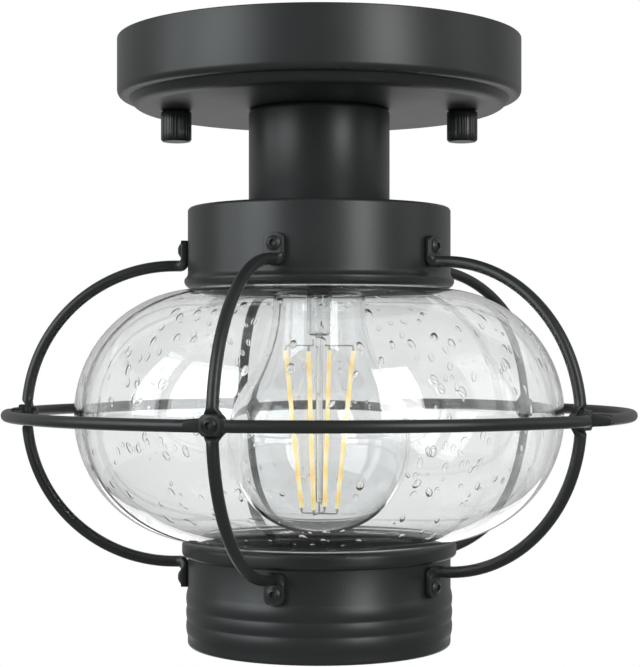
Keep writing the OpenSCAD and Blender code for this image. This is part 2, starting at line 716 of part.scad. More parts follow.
// Flattened middle of an arm, with a slope back to the round wire above it
// and below it
module arm_pad() {
    half_h = pad_h / 2 + touch;
    half_w = arm_pad_w / 2;
    round_x = arm_pad_in + wire_d;
    top = half_h + pad_slope;
    corner = 1;
    intersection() {
        across(arm_pad_w) polygon([
            [arm_pad_in, -half_h], [ring_pad_in, -half_h],
            [ring_pad_in, half_h], [arm_pad_in, half_h]]);
        translate([arm_pad_in - 1, 0, 0]) rotate([90, 0, 90]) linear_extrude(wire_d + 2)
            polygon([for (s = [[1, 1], [-1, 1], [-1, -1], [1, -1]])
                each s[0] * s[1] > 0
                    ? [[s[0] * half_w, s[1] * (half_h - corner)], [s[0] * (half_w - corner), s[1] * half_h]]
                    : [[s[0] * (half_w - corner), s[1] * half_h], [s[0] * half_w, s[1] * (half_h - corner)]]]);
    }
    for (side = [0, 1]) mirror([0, 0, side]) intersection() {
        translate([arm_out_r, 0, half_h - cut])
            cylinder(h = pad_slope + cut, r1 = half_w - corner, r2 = wire_r, $fn = 48);
        across(arm_pad_w) polygon([
            [arm_pad_in, half_h - cut], [ring_pad_in, half_h - cut], [ring_pad_in, half_h],
            [round_x, top], [arm_pad_in, top]]);
    }
}

// One arm: round wire bent to a half circle, with flattened ends and middle
module arm(a) {
    pad_end = pad_h / 2 + pad_slope - 0.2;
    pad_turn = asin(max(0, pad_end - arm_plumb) / arm_bend_r);
    color(black) rotate([0, 0, a]) translate([0, 0, globe_z]) difference() {
        union() {
            for (side = [0, 1]) mirror([0, 0, side]) {
                translate([arm_foot_r + arm_level, 0, arm_plumb]) rotate([90, 0, 0])
                    rotate([0, 0, pad_turn]) rotate_extrude(angle = 90 - pad_turn)
                        translate([arm_bend_r, 0]) circle(r = wire_r, $fn = 48);
                if (arm_level > touch) translate([0, 0, arm_h])
                    outward(arm_foot_r, arm_level + 0.3, wire_r - 0.02, wire_r - 0.02);
                if (arm_plumb > pad_end) translate([arm_out_r, 0, pad_end - 0.3])
                    cylinder(h = arm_plumb - pad_end + 0.6, r = wire_r - 0.02, $fn = 48);
                arm_tab();
            }
            arm_pad();
        }
        outward(arm_pad_in - 1, pad_t + 4, rivet_hole_r, rivet_hole_r);
        for (side = [-1, 1]) translate([0, 0, side * rivet_z])
            outward(tab_in_r - 1, tab_t + 2, rivet_hole_r, rivet_hole_r);
    }
}

module arm_1() { arm(arm_angles[0]); }
module arm_2() { arm(arm_angles[1]); }
module arm_3() { arm(arm_angles[2]); }
module arm_4() { arm(arm_angles[3]); }
module arm_5() { arm(arm_angles[4]); }

// A ring's pad with the two slopes that step out to the round wire
module ring_pad() {
    half_w = ring_pad_w / 2;
    half_h = pad_h / 2;
    corner = 1;
    end_y = half_w + ring_step + 0.2;
    end_x = sqrt(pow(ring_r, 2) - pow(end_y, 2));
    end_r = wire_r + 0.15;
    plan = [[end_x - end_r, -end_y], [ring_pad_in, -half_w], [ring_pad_in, half_w],
        [end_x - end_r, end_y], [end_x + end_r, end_y], [ring_pad_out, half_w],
        [ring_pad_out, -half_w], [end_x + end_r, -end_y]];
    side = [[half_w - corner, half_h], [half_w, half_h - corner], [end_y, end_r]];
    intersection() {
        linear_extrude(pad_h + 2, center = true) polygon(plan);
        translate([ring_pad_in - 1, 0, 0]) rotate([90, 0, 90])
            linear_extrude(ring_r + wire_r - ring_pad_in + 2)
            polygon(concat(side, [for (p = reversed(side)) [p[0], -p[1]]],
                [for (p = side) [-p[0], -p[1]]], [for (p = reversed(side)) [-p[0], p[1]]]));
        // rounds the slopes down to the wire
        translate([end_x, 0, 0]) rotate([90, 0, 0]) rotate_extrude() polygon([
            [0, -end_y], [wire_r - 0.05, -end_y], [wire_r + 1.4 * end_y, 0],
            [wire_r - 0.05, end_y], [0, end_y]]);
    }
}

// Round wire ring, stepped in and flattened where it is riveted to each arm
module guard_ring() {
    wire_y = ring_pad_w / 2 + ring_step - 0.2;
    turn = asin(wire_y / ring_r);
    color(black) translate([0, 0, globe_z]) difference() {
        union() {
            at_arms() {
                rotate([0, 0, turn]) rotate_extrude(angle = 72 - 2 * turn)
                    translate([ring_r, 0]) circle(r = wire_r, $fn = 32);
                ring_pad();
            }
        }
        at_arms() outward(ring_pad_in - 1, pad_t + 4, rivet_hole_r, rivet_hole_r);
    }
}

// A blind rivet: domed head on face x, shank inwards, bulged end behind wall y
module rivet(x, y) {
    head_r = rivet_head_d / 2;
    dome_r = (pow(head_r, 2) + pow(rivet_head_h, 2)) / (2 * rivet_head_h);
    difference() {
        rotate([0, 90, 0]) rotate_extrude($fn = 48) polygon(concat(
            [[0, y - rivet_blind_h], [rivet_blind_d / 2 - 0.4, y - rivet_blind_h],
             [rivet_blind_d / 2, y - rivet_blind_h + 0.4], [rivet_blind_d / 2, y],
             [rivet_d / 2, y], [rivet_d / 2, x]],
            arc([0, x + rivet_head_h - dome_r], dome_r, asin(1 - rivet_head_h / dome_r), 90, 8)));
        outward(x - 1, rivet_head_h + 2, rivet_hole_d / 2, rivet_hole_d / 2);
    }
}

cup_blind_x = sqrt(pow(cup_in_r, 2) - pow(rivet_blind_d / 2, 2)) - touch;

module upper_rivets() {
    color(black) at_arms() translate([0, 0, globe_z + rivet_z]) rivet(tab_out_r, cup_blind_x);
}

module lower_rivets() {
    color(black) at_arms() translate([0, 0, globe_z - rivet_z]) rivet(tab_out_r, cup_blind_x);
}

module ring_rivets() {
    color(black) at_arms() translate([0, 0, globe_z]) rivet(ring_pad_out, arm_pad_in);
}

// ---- lamp ----

// The lamp's outer outline below the cap, moved in by d, down to its lowest point
function lamp_side(d) = concat(
    [[cap_in_r - 0.1 - d, cap_foot_z + neck_in_cap]],
    [for (i = [0:6]) [cap_in_r - 0.1 - d
        + (lamp_neck_r - cap_in_r + 0.1) * (1 - cos(180 * i / 6)) / 2, cap_foot_z - 0.7 * i]],
    arc([lamp_neck_r + lamp_flare_r, lamp_flare_z], lamp_flare_r + d, 180, 180 + lamp_flare_turn, 10),
    arc([0, lamp_z], lamp_r - d, lamp_flare_turn, -90, 30));

// Thin clear bulb
module bulb_glass() {
    color(clear_glass) rotate_extrude($fn = 128)
        polygon(concat(lamp_side(0), reversed(lamp_side(lamp_t))));
}

// Rolled screw cap; each ring of the thread is one wave of its outline
module bulb_cap() {
    turns = 5;
    r = cap_d / 2;
    depth = 0.55;
    plain = 2.6;
    waves = 8;
    top_z = cap_foot_z + plain + turns * thread_pitch;
    shoulder_z = lamp_tip_z - tip_h - insulator_h;
    wave = [for (i = [0:turns * waves])
        [r - depth * (1 + cos(360 * i / waves)) / 2, cap_foot_z + plain + i * thread_pitch / waves]];
    color([0.75, 0.75, 0.76]) rotate_extrude() polygon(concat(
        [[cap_in_r, cap_foot_z], [r - depth, cap_foot_z]], wave,
        [[r - 2.6, shoulder_z], [r - 2.6 - cap_t, shoulder_z],
         [cap_in_r, top_z - 0.6]]));
}

// Black glass insulator between the cap and its tip
module bulb_insulator() {
    r = cap_d / 2 - 2.6 - cap_t;
    low_z = lamp_tip_z - tip_h - insulator_h;
    color([0.08, 0.08, 0.09]) translate([0, 0, low_z])
        cylinder(h = insulator_h, r1 = r, r2 = 4.9);
}

// Soldered tip of the lamp
module bulb_contact() {
    color([0.7, 0.7, 0.7]) translate([0, 0, lamp_tip_z - tip_h])
        cylinder(h = tip_h, r1 = 4.6, r2 = 3.2);
}

// Glass mount: a flare sealed in the neck, a tube, and a rod down the middle
module bulb_stem() {
    flare_z = cap_foot_z + neck_in_cap;
    flare_r = cap_in_r - 0.1 - lamp_t;
    bend_r = flare_r - mount_r - 0.2;
    color(clear_glass) rotate_extrude($fn = 64) polygon(concat(
        [[flare_r, flare_z]],
        arc([mount_r + bend_r, flare_z - 1 - bend_r], bend_r, 90, 180, 8),
        [[mount_r, mount_foot_z + 1.2], [2.3, mount_foot_z], [rod_r, mount_foot_z - 1.6],
         [rod_r, rod_foot_z], [0, rod_foot_z], [0, mount_foot_z + 2.4],
         [mount_r - mount_t, mount_foot_z + 3.2]],
        arc([mount_r + bend_r, flare_z - 1 - bend_r], bend_r + mount_t, 180, 110, 8)));
}

// Where filament i stands at height z, on a circle of radius r
function filament_at(i, r, z) =
    let (a = filament_turn + 90 * i) [r * cos(a), r * sin(a), z];

// Four light-emitting filaments that lean in towards the lamp's axis
module bulb_filaments() {
    color([1, 0.83, 0.4]) for (i = [0:3])
        rod(filament_at(i, filament_foot_r, filament_foot_z),
            filament_at(i, filament_top_r, filament_top_z), filament_d / 2);
}

// Nickel wires: two leads to the upper ends, and a star to the lower ends
module bulb_wires() {
    lead_x = 2;
    color([0.6, 0.6, 0.6]) {
        for (i = [0:3]) {
            lead = [(i < 2 ? 1 : -1) * lead_x, 0, top_wire_z];
            top = filament_at(i, filament_top_r, top_wire_z);
            foot = filament_at(i, filament_foot_r, foot_wire_z);
            rod(lead + (top - lead) * 0.3 / norm(top - lead), top, wire_thin_r);
            rod(filament_at(i, 0.3, foot_wire_z), foot, wire_thin_r);
            translate([top[0], top[1], filament_top_z]) pin(top_wire_z + 0.4 - filament_top_z);
            translate([foot[0], foot[1], foot_wire_z - 0.4]) pin(filament_foot_z - foot_wire_z + 0.4);
        }
        for (side = [-1, 1]) translate([side * lead_x, 0, top_wire_z - 0.4])
            pin(mount_foot_z - 1 - top_wire_z + 0.4);
        translate([0, 0, foot_wire_z - 0.4]) pin(rod_foot_z - foot_wire_z + 0.4);
    }
}

// An upright pin, h high
module pin(h) {
    cylinder(h = h, r = post_r, $fn = 24);
}

canopy();
mounting_bracket();
mounting_studs();
stud_nuts();
thumb_nut_left();
thumb_nut_right();
ground_screw();
stem();
nipple();
nipple_nuts();
lock_washer();
socket_bracket();
socket_screws();
socket_body();
socket_shell();
socket_contact();
upper_cup();
upper_gasket();
globe();
lower_gasket();
seat_ring();
lower_cup();
guard_ring();
arm_1();
arm_2();
arm_3();
arm_4();
arm_5();
upper_rivets();
lower_rivets();
ring_rivets();
bulb_glass();
bulb_cap();
bulb_insulator();
bulb_contact();
bulb_stem();
bulb_filaments();
bulb_wires();
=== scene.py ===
from math import acos, asin, atan2, cos, degrees, hypot, pi, radians, sin, sqrt
from random import Random

import bpy
from mathutils import Matrix, Vector


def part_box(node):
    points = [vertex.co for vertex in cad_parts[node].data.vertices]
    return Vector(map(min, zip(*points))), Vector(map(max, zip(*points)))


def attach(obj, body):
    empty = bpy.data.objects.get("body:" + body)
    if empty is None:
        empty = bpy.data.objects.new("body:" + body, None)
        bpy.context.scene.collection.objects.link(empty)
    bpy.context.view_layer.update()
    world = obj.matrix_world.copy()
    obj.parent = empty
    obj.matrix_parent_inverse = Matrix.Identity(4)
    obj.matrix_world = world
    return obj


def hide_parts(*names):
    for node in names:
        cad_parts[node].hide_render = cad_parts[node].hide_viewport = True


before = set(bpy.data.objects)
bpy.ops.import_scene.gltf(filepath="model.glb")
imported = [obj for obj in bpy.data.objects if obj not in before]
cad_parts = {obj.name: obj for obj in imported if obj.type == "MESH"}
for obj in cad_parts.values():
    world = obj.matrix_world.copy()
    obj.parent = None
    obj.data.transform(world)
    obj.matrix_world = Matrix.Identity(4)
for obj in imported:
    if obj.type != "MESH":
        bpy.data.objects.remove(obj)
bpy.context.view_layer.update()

# ---- Camera ----
# A long lens a little under the canopy, level with the ceiling side of the
# globe. Its distance follows from how the rims of the canopy, the belt ring
# and the cups open up in perspective.
def placed(name, data):
    """A new object in the scene."""
    made = bpy.data.objects.new(name, data)
    bpy.context.scene.collection.objects.link(made)
    return made


camera_data = bpy.data.cameras.new("camera")
camera_data.lens = 95.48
camera_data.sensor_width = 36
camera_data.shift_x = 0.0012
camera_data.shift_y = 0.0247
camera = placed("camera", camera_data)
camera.location = (0, -0.573, -0.100)
camera.rotation_euler = (radians(90), 0, 0)
bpy.context.scene.camera = camera
bpy.context.scene.view_settings.view_transform = "Standard"


# ---- Canopy ----
# A round ceiling plate spun from 1 mm steel, with a rounded lower rim and a
# centre disc that is pressed down in one hollow step. It is powder coated.
# Two cap nuts hold it up against the ceiling.
weld = 2e-6         # corners nearer to each other than this are made one
on_axis = 1e-7      # the radius at which a solid piece's outline meets the axis


def arc(centre, radius, start, end, steps):
    """Points on an arc round centre, from one angle in degrees to another."""
    turns = [radians(start + (end - start) * i / steps) for i in range(steps + 1)]
    return [(centre[0] + radius * cos(t), centre[1] + radius * sin(t)) for t in turns]


def closed_up():
    """Welds the piece in edit mode, turns its faces outwards and leaves edit mode."""
    bpy.ops.mesh.select_all(action="SELECT")
    bpy.ops.mesh.remove_doubles(threshold=weld)
    bpy.ops.mesh.normals_make_consistent(inside=False)
    bpy.ops.object.mode_set(mode="OBJECT")


def settle():
    """Moves the place, turn and scale of what is selected into its mesh."""
    bpy.ops.object.transform_apply(location=True, rotation=True, scale=True)


def turned(name, outline, around=160, smooth=35):
    """Turns a closed outline of (radius, height) points once round the lantern's axis."""
    bpy.ops.object.select_all(action="DESELECT")
    bpy.ops.mesh.primitive_plane_add(size=0.001, location=(outline[0][0], 0, outline[0][1]))
    piece = bpy.context.object
    piece.name = piece.data.name = name
    bpy.ops.object.mode_set(mode="EDIT")
    bpy.ops.mesh.select_mode(type="VERT")
    bpy.ops.mesh.select_all(action="SELECT")
    bpy.ops.mesh.merge(type="CENTER")
    for (r0, z0), (r1, z1) in zip(outline, outline[1:] + outline[:1]):
        bpy.ops.mesh.extrude_region_move(TRANSFORM_OT_translate={"value": (r1 - r0, 0, z1 - z0)})
    bpy.ops.mesh.select_all(action="SELECT")
    bpy.ops.mesh.remove_doubles(threshold=weld)
    bpy.ops.mesh.spin(steps=around, angle=2 * pi, center=(0, 0, 0), axis=(0, 0, 1))
    closed_up()
    settle()
    bpy.ops.object.shade_smooth_by_angle(angle=radians(smooth))
    return piece


def linear(colour):
    """A hex colour such as 2b2e2e as the linear values that a shader takes."""
    shares = [int(colour[i:i + 2], 16) / 255 for i in (0, 2, 4)]
    return [c / 12.92 if c <= 0.04045 else ((c + 0.055) / 1.055) ** 2.4 for c in shares] + [1]


def add(tree, kind, links=None, stops=None, **settings):
    """Adds a shader node. links gives its inputs a plain value, a socket, or a node in place
    of that node's first output, and stops gives a ramp's colours by position."""
    node = tree.nodes.new("ShaderNode" + kind)
    for name, value in settings.items():
        setattr(node, name, value)
    for i, (place, colour) in enumerate((stops or {}).items()):
        ramp = node.color_ramp.elements
        stop = ramp[i] if i < 2 else ramp.new(place)
        stop.position, stop.color = place, linear(colour)
    for socket, value in (links or {}).items():
        if isinstance(value, bpy.types.Node):
            value = value.outputs[0]
        if isinstance(value, bpy.types.NodeSocket):
            tree.links.new(value, node.inputs[socket])
        else:
            node.inputs[socket].default_value = value
    return node


def material(name, finish):
    """A new material. finish adds its nodes and returns the surface's shader."""
    made = bpy.data.materials.new(name)
    made.use_nodes = True
    tree = made.node_tree
    tree.nodes.clear()
    surface = finish(tree, add(tree, "TexCoord").outputs["Object"])
    add(tree, "OutputMaterial", {"Surface": surface})
    return made


def powder_finish(tree, place):
    """Polyester powder, sprayed on steel and baked: satin charcoal. The melted grains
    leave a fine orange peel, drawn at 0.7 mm so that it shows, and a slight cloud in gloss."""
    peel = add(tree, "TexNoise", {"Vector": place, "Scale": 1 / 0.0007, "Detail": 2.0})
    cloud = add(tree, "TexNoise", {"Vector": place, "Scale": 1 / 0.018, "Detail": 3.0})
    tone = add(tree, "ValToRGB", {"Fac": cloud}, {0: "1f2222", 1: "292c2c"})
    gloss = add(tree, "MapRange", {"Value": cloud, "To Min": 0.34, "To Max": 0.42})
    bump = add(tree, "Bump", {"Height": peel, "Strength": 0.3, "Distance": 0.00006})
    return add(tree, "BsdfPrincipled", {
        "Base Color": tone, "Roughness": gloss, "Normal": bump, "IOR": 1.5})


def fit(piece, made, body, slot, *nodes):
    """Gives a piece its material and its body, and hides the CAD nodes it stands for. slot is not
    used.
    """
    piece.data.materials.clear()
    piece.data.materials.append(made)
    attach(piece, body)
    if nodes:
        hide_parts(*nodes)


powder_coat = material("powder_coat", powder_finish)


def coated(piece, *nodes):
    """Powder coats a piece that stays with the ceiling."""
    fit(piece, powder_coat, "fixture", "black_powder_coat", *nodes)


low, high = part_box("canopy")
canopy_r, canopy_z = high.x, low.z
sheet = 0.001
rim_z, rim_r = -0.0192, 0.0024
step_r, step_run, ledge = 0.005, 0.0047, 0.0015
disc_r = canopy_r - rim_r - ledge - step_run
step_turn = degrees(asin((rim_z - canopy_z) / step_r - 1))
step_in_turn = degrees(asin((rim_z + sheet - canopy_z - step_r) / (step_r - sheet)))
disc_flat, disc_mid_r = 0.004, 0.03
nipple_r = 0.00485
hem = 0.0004
coated(turned("canopy_plate", (
    arc((canopy_r - hem, -hem), hem, 90, 0, 3)
    + arc((canopy_r - rim_r, rim_z + rim_r), rim_r, 0, -90, 12)
    + arc((disc_r, canopy_z + step_r), step_r, step_turn, -90, 14)
    + [(disc_r - disc_flat, canopy_z), (disc_mid_r, canopy_z), (nipple_r, canopy_z),
       (nipple_r, canopy_z + sheet), (disc_mid_r, canopy_z + sheet)]
    + arc((disc_r, canopy_z + step_r), step_r - sheet, -90, step_in_turn, 10)
    + arc((canopy_r - rim_r, rim_z + rim_r), rim_r - sheet, -90, 0, 8)
    + [(canopy_r - sheet, -hem), (canopy_r - sheet + hem / 2, 0)]), around=224), "canopy")


# ---- Cap nuts ----
# Two blind nuts with straight knurling, turned from brass bar and powder
# coated with the canopy. Each is screwed up its stud by hand until it meets
# the canopy's disc.
def only(piece):
    """Selects one piece alone and makes it the active one."""
    bpy.ops.object.select_all(action="DESELECT")
    piece.select_set(True)
    bpy.context.view_layer.objects.active = piece


def moved(piece, x, y, z):
    """Shifts a piece and keeps its object at the origin."""
    only(piece)
    bpy.ops.transform.translate(value=(x, y, z))
    settle()
    return piece


def copied(piece, name):
    """A second piece with a mesh of its own."""
    twin = placed(name, piece.data.copy())
    twin.data.name = name
    return twin


def nut_finish(tree, place):
    """A thin coat of the same powder on turned brass: a shade darker and glossier than on
    sheet, with no orange peel, so that the knurl stays crisp."""
    cloud = add(tree, "TexNoise", {"Vector": place, "Scale": 1 / 0.006, "Detail": 3.0})
    tone = add(tree, "ValToRGB", {"Fac": cloud}, {0: "151718", 1: "1c1f20"})
    return add(tree, "BsdfPrincipled", {"Base Color": tone, "Roughness": 0.3, "IOR": 1.5})


nut_coat = material("thin_powder_coat", nut_finish)

grooves, groove_depth = 32, 0.0003
columns = 8                 # mesh columns from one groove to the next
low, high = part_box("thumb_nut_right")
nut_r, nut_h, nut_top = (high.x - low.x) / 2, high.z - low.z, high.z
stud_x = (low.x + high.x) / 2
edge = 0.0006               # width of the edges, which are broken at 45 degrees
soft, end_flat, end_ring_r = 0.0001, 0.0006, 0.0017
nut_bore, bore_end, drill_tip = 0.0021, -0.0076, -0.0083
side_top = -edge - 2 * soft
nut_left = turned("cap_nut_left", (
    [(nut_bore, bore_end), (nut_bore, 0), (nut_r - edge - end_flat, 0), (nut_r - edge, -soft),
     (nut_r - soft, -edge), (nut_r, side_top)]
    + [(nut_r, side_top - (nut_h + 2 * side_top) * i / 3) for i in (1, 2)]
    + [(nut_r, -side_top - nut_h), (nut_r - soft, edge - nut_h), (nut_r - edge, soft - nut_h),
       (nut_r - edge - end_flat, -nut_h), (end_ring_r, -nut_h), (on_axis, -nut_h),
       (on_axis, drill_tip)]),
    around=grooves * columns, smooth=28)
bpy.ops.object.mode_set(mode="EDIT")
bpy.ops.mesh.select_all(action="DESELECT")
bpy.ops.object.mode_set(mode="OBJECT")
for vertex in nut_left.data.vertices:
    column = round(atan2(vertex.co.y, vertex.co.x) / (2 * pi) * grooves * columns) % columns
    vertex.select = column == 0 and hypot(vertex.co.x, vertex.co.y) > nut_r - edge - 0.0003
bpy.ops.object.mode_set(mode="EDIT")
groove = 1 - groove_depth / nut_r
bpy.ops.transform.resize(value=(groove, groove, 1), center_override=(0, 0, 0))
bpy.ops.object.mode_set(mode="OBJECT")
nut_right = copied(nut_left, "cap_nut_right")
for piece, side, node in ((nut_left, -1, "thumb_nut_left"), (nut_right, 1, "thumb_nut_right")):
    fit(moved(piece, side * stud_x, 0, nut_top), nut_coat, node, "black_powder_coat", node)


# ---- Ceiling bracket, studs and ground screw ----
# A stamped cross plate of zinc plated steel that screws to the ceiling box.
# Two long studs with lock nuts hang from its set-down arms, and a green
# ground screw is backed out of it.
def dressed(node, name, edge=0.00015):
    """A copy of a CAD node with its loose triangles merged and its edges broken."""
    piece = copied(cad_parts[node], name)
    only(piece)
    bpy.ops.object.mode_set(mode="EDIT")
    bpy.ops.mesh.select_all(action="SELECT")
    bpy.ops.mesh.remove_doubles(threshold=weld)
    bpy.ops.mesh.dissolve_limited(angle_limit=radians(1))
    bpy.ops.object.mode_set(mode="OBJECT")
    bevel = piece.modifiers.new("edges", "BEVEL")
    bevel.width = edge
    bevel.segments = 2
    bevel.limit_method = "ANGLE"
    bevel.angle_limit = radians(40)
    bpy.ops.object.modifier_apply(modifier=bevel.name)
    bpy.ops.object.shade_smooth_by_angle(angle=radians(30))
    return piece


def threaded(piece, low_z, high_z, pitch, depth, crest):
    """Cuts a thread into a turned piece: its surface at the crest's radius sinks along a
    helix round the axis."""
    for vertex in piece.data.vertices:
        x, y, z = vertex.co
        r = hypot(x, y)
        if low_z < z < high_z and abs(r - crest) < 0.0002:
            turn = (z / pitch + atan2(y, x) / (2 * pi)) % 1
            sunk = (r - depth * 0.5 * (1 + cos(2 * pi * turn))) / r
            vertex.co.x, vertex.co.y = x * sunk, y * sunk


def rod_outline(r, low_z, high_z, step, edge=0.0003):
    """The outline of a turned bar with broken edges and rings close enough for a thread."""
    rings = round((high_z - low_z - 2 * edge) / step)
    side = [(r, high_z - edge - (high_z - low_z - 2 * edge) * i / rings) for i in range(rings + 1)]
    return [(on_axis, high_z), (r - edge, high_z)] + side + [(r - edge, low_z), (on_axis, low_z)]


def zinc_finish(tree, place):
    """Clear zinc plating on rolled steel: a bright bluish grey with a faint spangle."""
    spangle = add(tree, "TexVoronoi", {"Vector": place, "Scale": 1 / 0.0024})
    tone = add(tree, "ValToRGB", {"Fac": spangle.outputs["Color"]}, {0: "a6abb0", 1: "c9cdd0"})
    gloss = add(tree, "MapRange", {"Value": spangle.outputs["Distance"], "From Max": 0.002,
                                   "To Min": 0.28, "To Max": 0.42})
    grain = add(tree, "TexNoise", {"Vector": place, "Scale": 1 / 0.0003, "Detail": 2.0})
    bump = add(tree, "Bump", {"Height": grain, "Strength": 0.15,
                              "Distance": 0.00002})
    return add(tree, "BsdfPrincipled", {
        "Base Color": tone, "Metallic": 1.0, "Roughness": gloss, "Normal": bump})


def green_finish(tree, place):
    """Zinc plated steel dyed green, the colour that marks a ground screw."""
    cloud = add(tree, "TexNoise", {"Vector": place, "Scale": 1 / 0.001, "Detail": 2.0})
    tone = add(tree, "ValToRGB", {"Fac": cloud}, {0: "1d6b38", 1: "2f8a4c"})
    return add(tree, "BsdfPrincipled", {"Base Color": tone, "Metallic": 0.8, "Roughness": 0.32})


zinc_plate = material("zinc_plate", zinc_finish)
green_zinc = material("green_zinc", green_finish)


def plated(piece, node):
    """Zinc plates a piece that stays with the ceiling."""
    fit(piece, zinc_plate, "fixture", "zinc_steel", node)


plated(dressed("mounting_bracket", "cross_bracket", 0.0002), "mounting_bracket")
plated(dressed("stud_nuts", "stud_lock_nuts"), "stud_nuts")
fit(dressed("ground_screw", "ground_screw_green", 0.0003), green_zinc, "fixture", "green_steel",
    "ground_screw")

low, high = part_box("mounting_studs")
stud_r, stud_pitch, stud_thread = 0.00205, 0.00075, 0.00035
stud_head_z, plain_end = -0.0024, 0.0004
stud_left = turned("threaded_studs", (
    [(on_axis, high.z), (2 * stud_r - 0.0006, high.z), (2 * stud_r, high.z - 0.0005),
     (2 * stud_r, stud_head_z), (stud_r, stud_head_z)]
    + rod_outline(stud_r, low.z, stud_head_z + 0.0003, 0.0001)[2:]), around=32)
threaded(stud_left, low.z + plain_end, stud_head_z - 0.0006, stud_pitch, stud_thread, stud_r)
stud_right = moved(copied(stud_left, "threaded_stud_right"), stud_x, 0, 0)
moved(stud_left, -stud_x, 0, 0)


def joined(name, piece, *others):
    """One named piece from several, in one mesh."""
    only(piece)
    for other in others:
        other.select_set(True)
    bpy.ops.object.join()
    piece.name = piece.data.name = name
    return piece


plated(joined("threaded_studs", stud_left, stud_right), "mounting_studs")

# ---- Stem ----
# A short cup drawn from 1 mm steel, closed at the top, between the canopy and
# the upper cup. Its foot is welded to the cup, and a threaded nipple with hex
# nuts and a toothed washer clamps its top to the canopy.
low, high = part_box("stem")
stem_r, stem_top, stem_foot = high.x, high.z, low.z
stem_edge = 0.0015
coated(turned("stem_tube", (
    [(nipple_r, stem_top)]
    + arc((stem_r - stem_edge, stem_top - stem_edge), stem_edge, 90, 0, 8)
    + [(stem_r, stem_foot + 0.0003), (stem_r - 0.0002, stem_foot), (stem_r - sheet, stem_foot)]
    + arc((stem_r - stem_edge, stem_top - stem_edge), stem_edge - sheet, 0, 90, 4)
    + [(nipple_r, stem_top - sheet)])), "stem")

low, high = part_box("nipple")
bore_r, bore_edge = 0.0033, 0.0003
nipple_pitch, nipple_thread = 0.0014, 0.0005
nipple = turned("threaded_nipple", (
    [(bore_r, high.z - bore_edge), (bore_r + bore_edge, high.z)]
    + rod_outline(nipple_r, low.z, high.z, 0.00015)[1:-1]
    + [(bore_r + bore_edge, low.z), (bore_r, low.z + bore_edge)]), around=48)
threaded(nipple, low.z + plain_end, high.z - plain_end, nipple_pitch, nipple_thread, nipple_r)
plated(nipple, "nipple")
plated(dressed("nipple_nuts", "nipple_hex_nuts", 0.0004), "nipple_nuts")
plated(dressed("lock_washer", "toothed_washer", 0.0001), "lock_washer")

# ---- Lamp socket ----
# A glazed porcelain body on a steel strap, held by two screws from above. Its
# well holds a brass screw shell, rolled with the lamp's thread, and a bent
# brass tongue for the tip.
plated(dressed("socket_bracket", "socket_strap"), "socket_bracket")
plated(dressed("socket_screws", "socket_strap_screws", 0.0003), "socket_screws")


def porcelain_finish(tree, place):
    """Slip cast porcelain under a clear glaze: warm white, wavy and very glossy."""
    wave = add(tree, "TexNoise", {"Vector": place, "Scale": 1 / 0.006, "Detail": 1.0})
    speck = add(tree, "TexNoise", {"Vector": place, "Scale": 1 / 0.0006, "Detail": 2.0})
    tone = add(tree, "ValToRGB", {"Fac": speck}, {0: "e4e1d8", 1: "f1efe9"})
    bump = add(tree, "Bump", {"Height": wave, "Strength": 0.2, "Distance": 0.0004})
    return add(tree, "BsdfPrincipled", {
        "Base Color": tone, "Roughness": 0.16, "Normal": bump, "Subsurface Weight": 0.1,
        "Subsurface Scale": 0.001})


def brass_finish(tree, place):
    """Bright rolled brass strip, with fine scratches from the rolls and a little tarnish."""
    scratch = add(tree, "TexNoise", {"Vector": place, "Scale": 1 / 0.0012, "Detail": 6.0})
    tone = add(tree, "ValToRGB", {"Fac": scratch}, {0: "b08a45", 1: "d9b56c"})
    gloss = add(tree, "MapRange", {"Value": scratch, "To Min": 0.2, "To Max": 0.4})
    return add(tree, "BsdfPrincipled", {"Base Color": tone, "Metallic": 1.0, "Roughness": gloss})


porcelain = material("glazed_porcelain", porcelain_finish)
brass = material("rolled_brass", brass_finish)
low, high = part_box("socket_body")
socket_r, mouth_z, head_z = high.x, low.z, high.z
well_r, well_z = 0.01415, mouth_z + 0.030
small_r, large_r = 0.0008, 0.0012           # roundings under the glaze
head_in, hollow_in, hollow_z, shoulder_z = 0.0026, 0.001, head_z - 0.0058, head_z - 0.0084
fit(turned("socket_porcelain", (
    [(on_axis, head_z)] + arc((socket_r - head_in, head_z - small_r), small_r, 90, 0, 5)
    + arc((socket_r - hollow_in, hollow_z), small_r, 180, 230, 4)
    + arc((socket_r - large_r, shoulder_z), large_r, 50, 0, 5)
    + arc((socket_r - large_r, mouth_z + large_r), large_r, 0, -90, 6)
    + arc((well_r + small_r, mouth_z + small_r), small_r, -90, -180, 5)
    + [(well_r, well_z), (on_axis, well_z)]), around=128),
    porcelain, "fixture", "porcelain", "socket_body")

low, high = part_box("socket_shell")
shell_r, shell_t, shell_hole = high.x, 0.0005, 0.0065
pitch, shell_depth, shell_plain = 0.00363, 0.0002, 0.001
rings = 60
shell_side = [low.z + (high.z - low.z) * (i + 0.5) / rings for i in range(rings)]
shell = turned("screw_shell", (
    [(shell_hole, high.z), (shell_r - 0.0004, high.z)]
    + [(shell_r, z) for z in reversed(shell_side)]
    + [(shell_r, low.z), (shell_r - shell_t, low.z)] + [(shell_r - shell_t, z) for z in shell_side]
    + [(shell_r - 0.0009, high.z - shell_t), (shell_hole, high.z - shell_t)]), around=96)
for crest in (shell_r, shell_r - shell_t):
    threaded(shell, low.z + shell_plain, high.z - shell_plain, pitch, shell_depth, crest)
fit(shell, brass, "fixture", "brass", "socket_shell")
fit(dressed("socket_contact", "centre_tongue", 0.0001), brass, "fixture", "brass", "socket_contact")

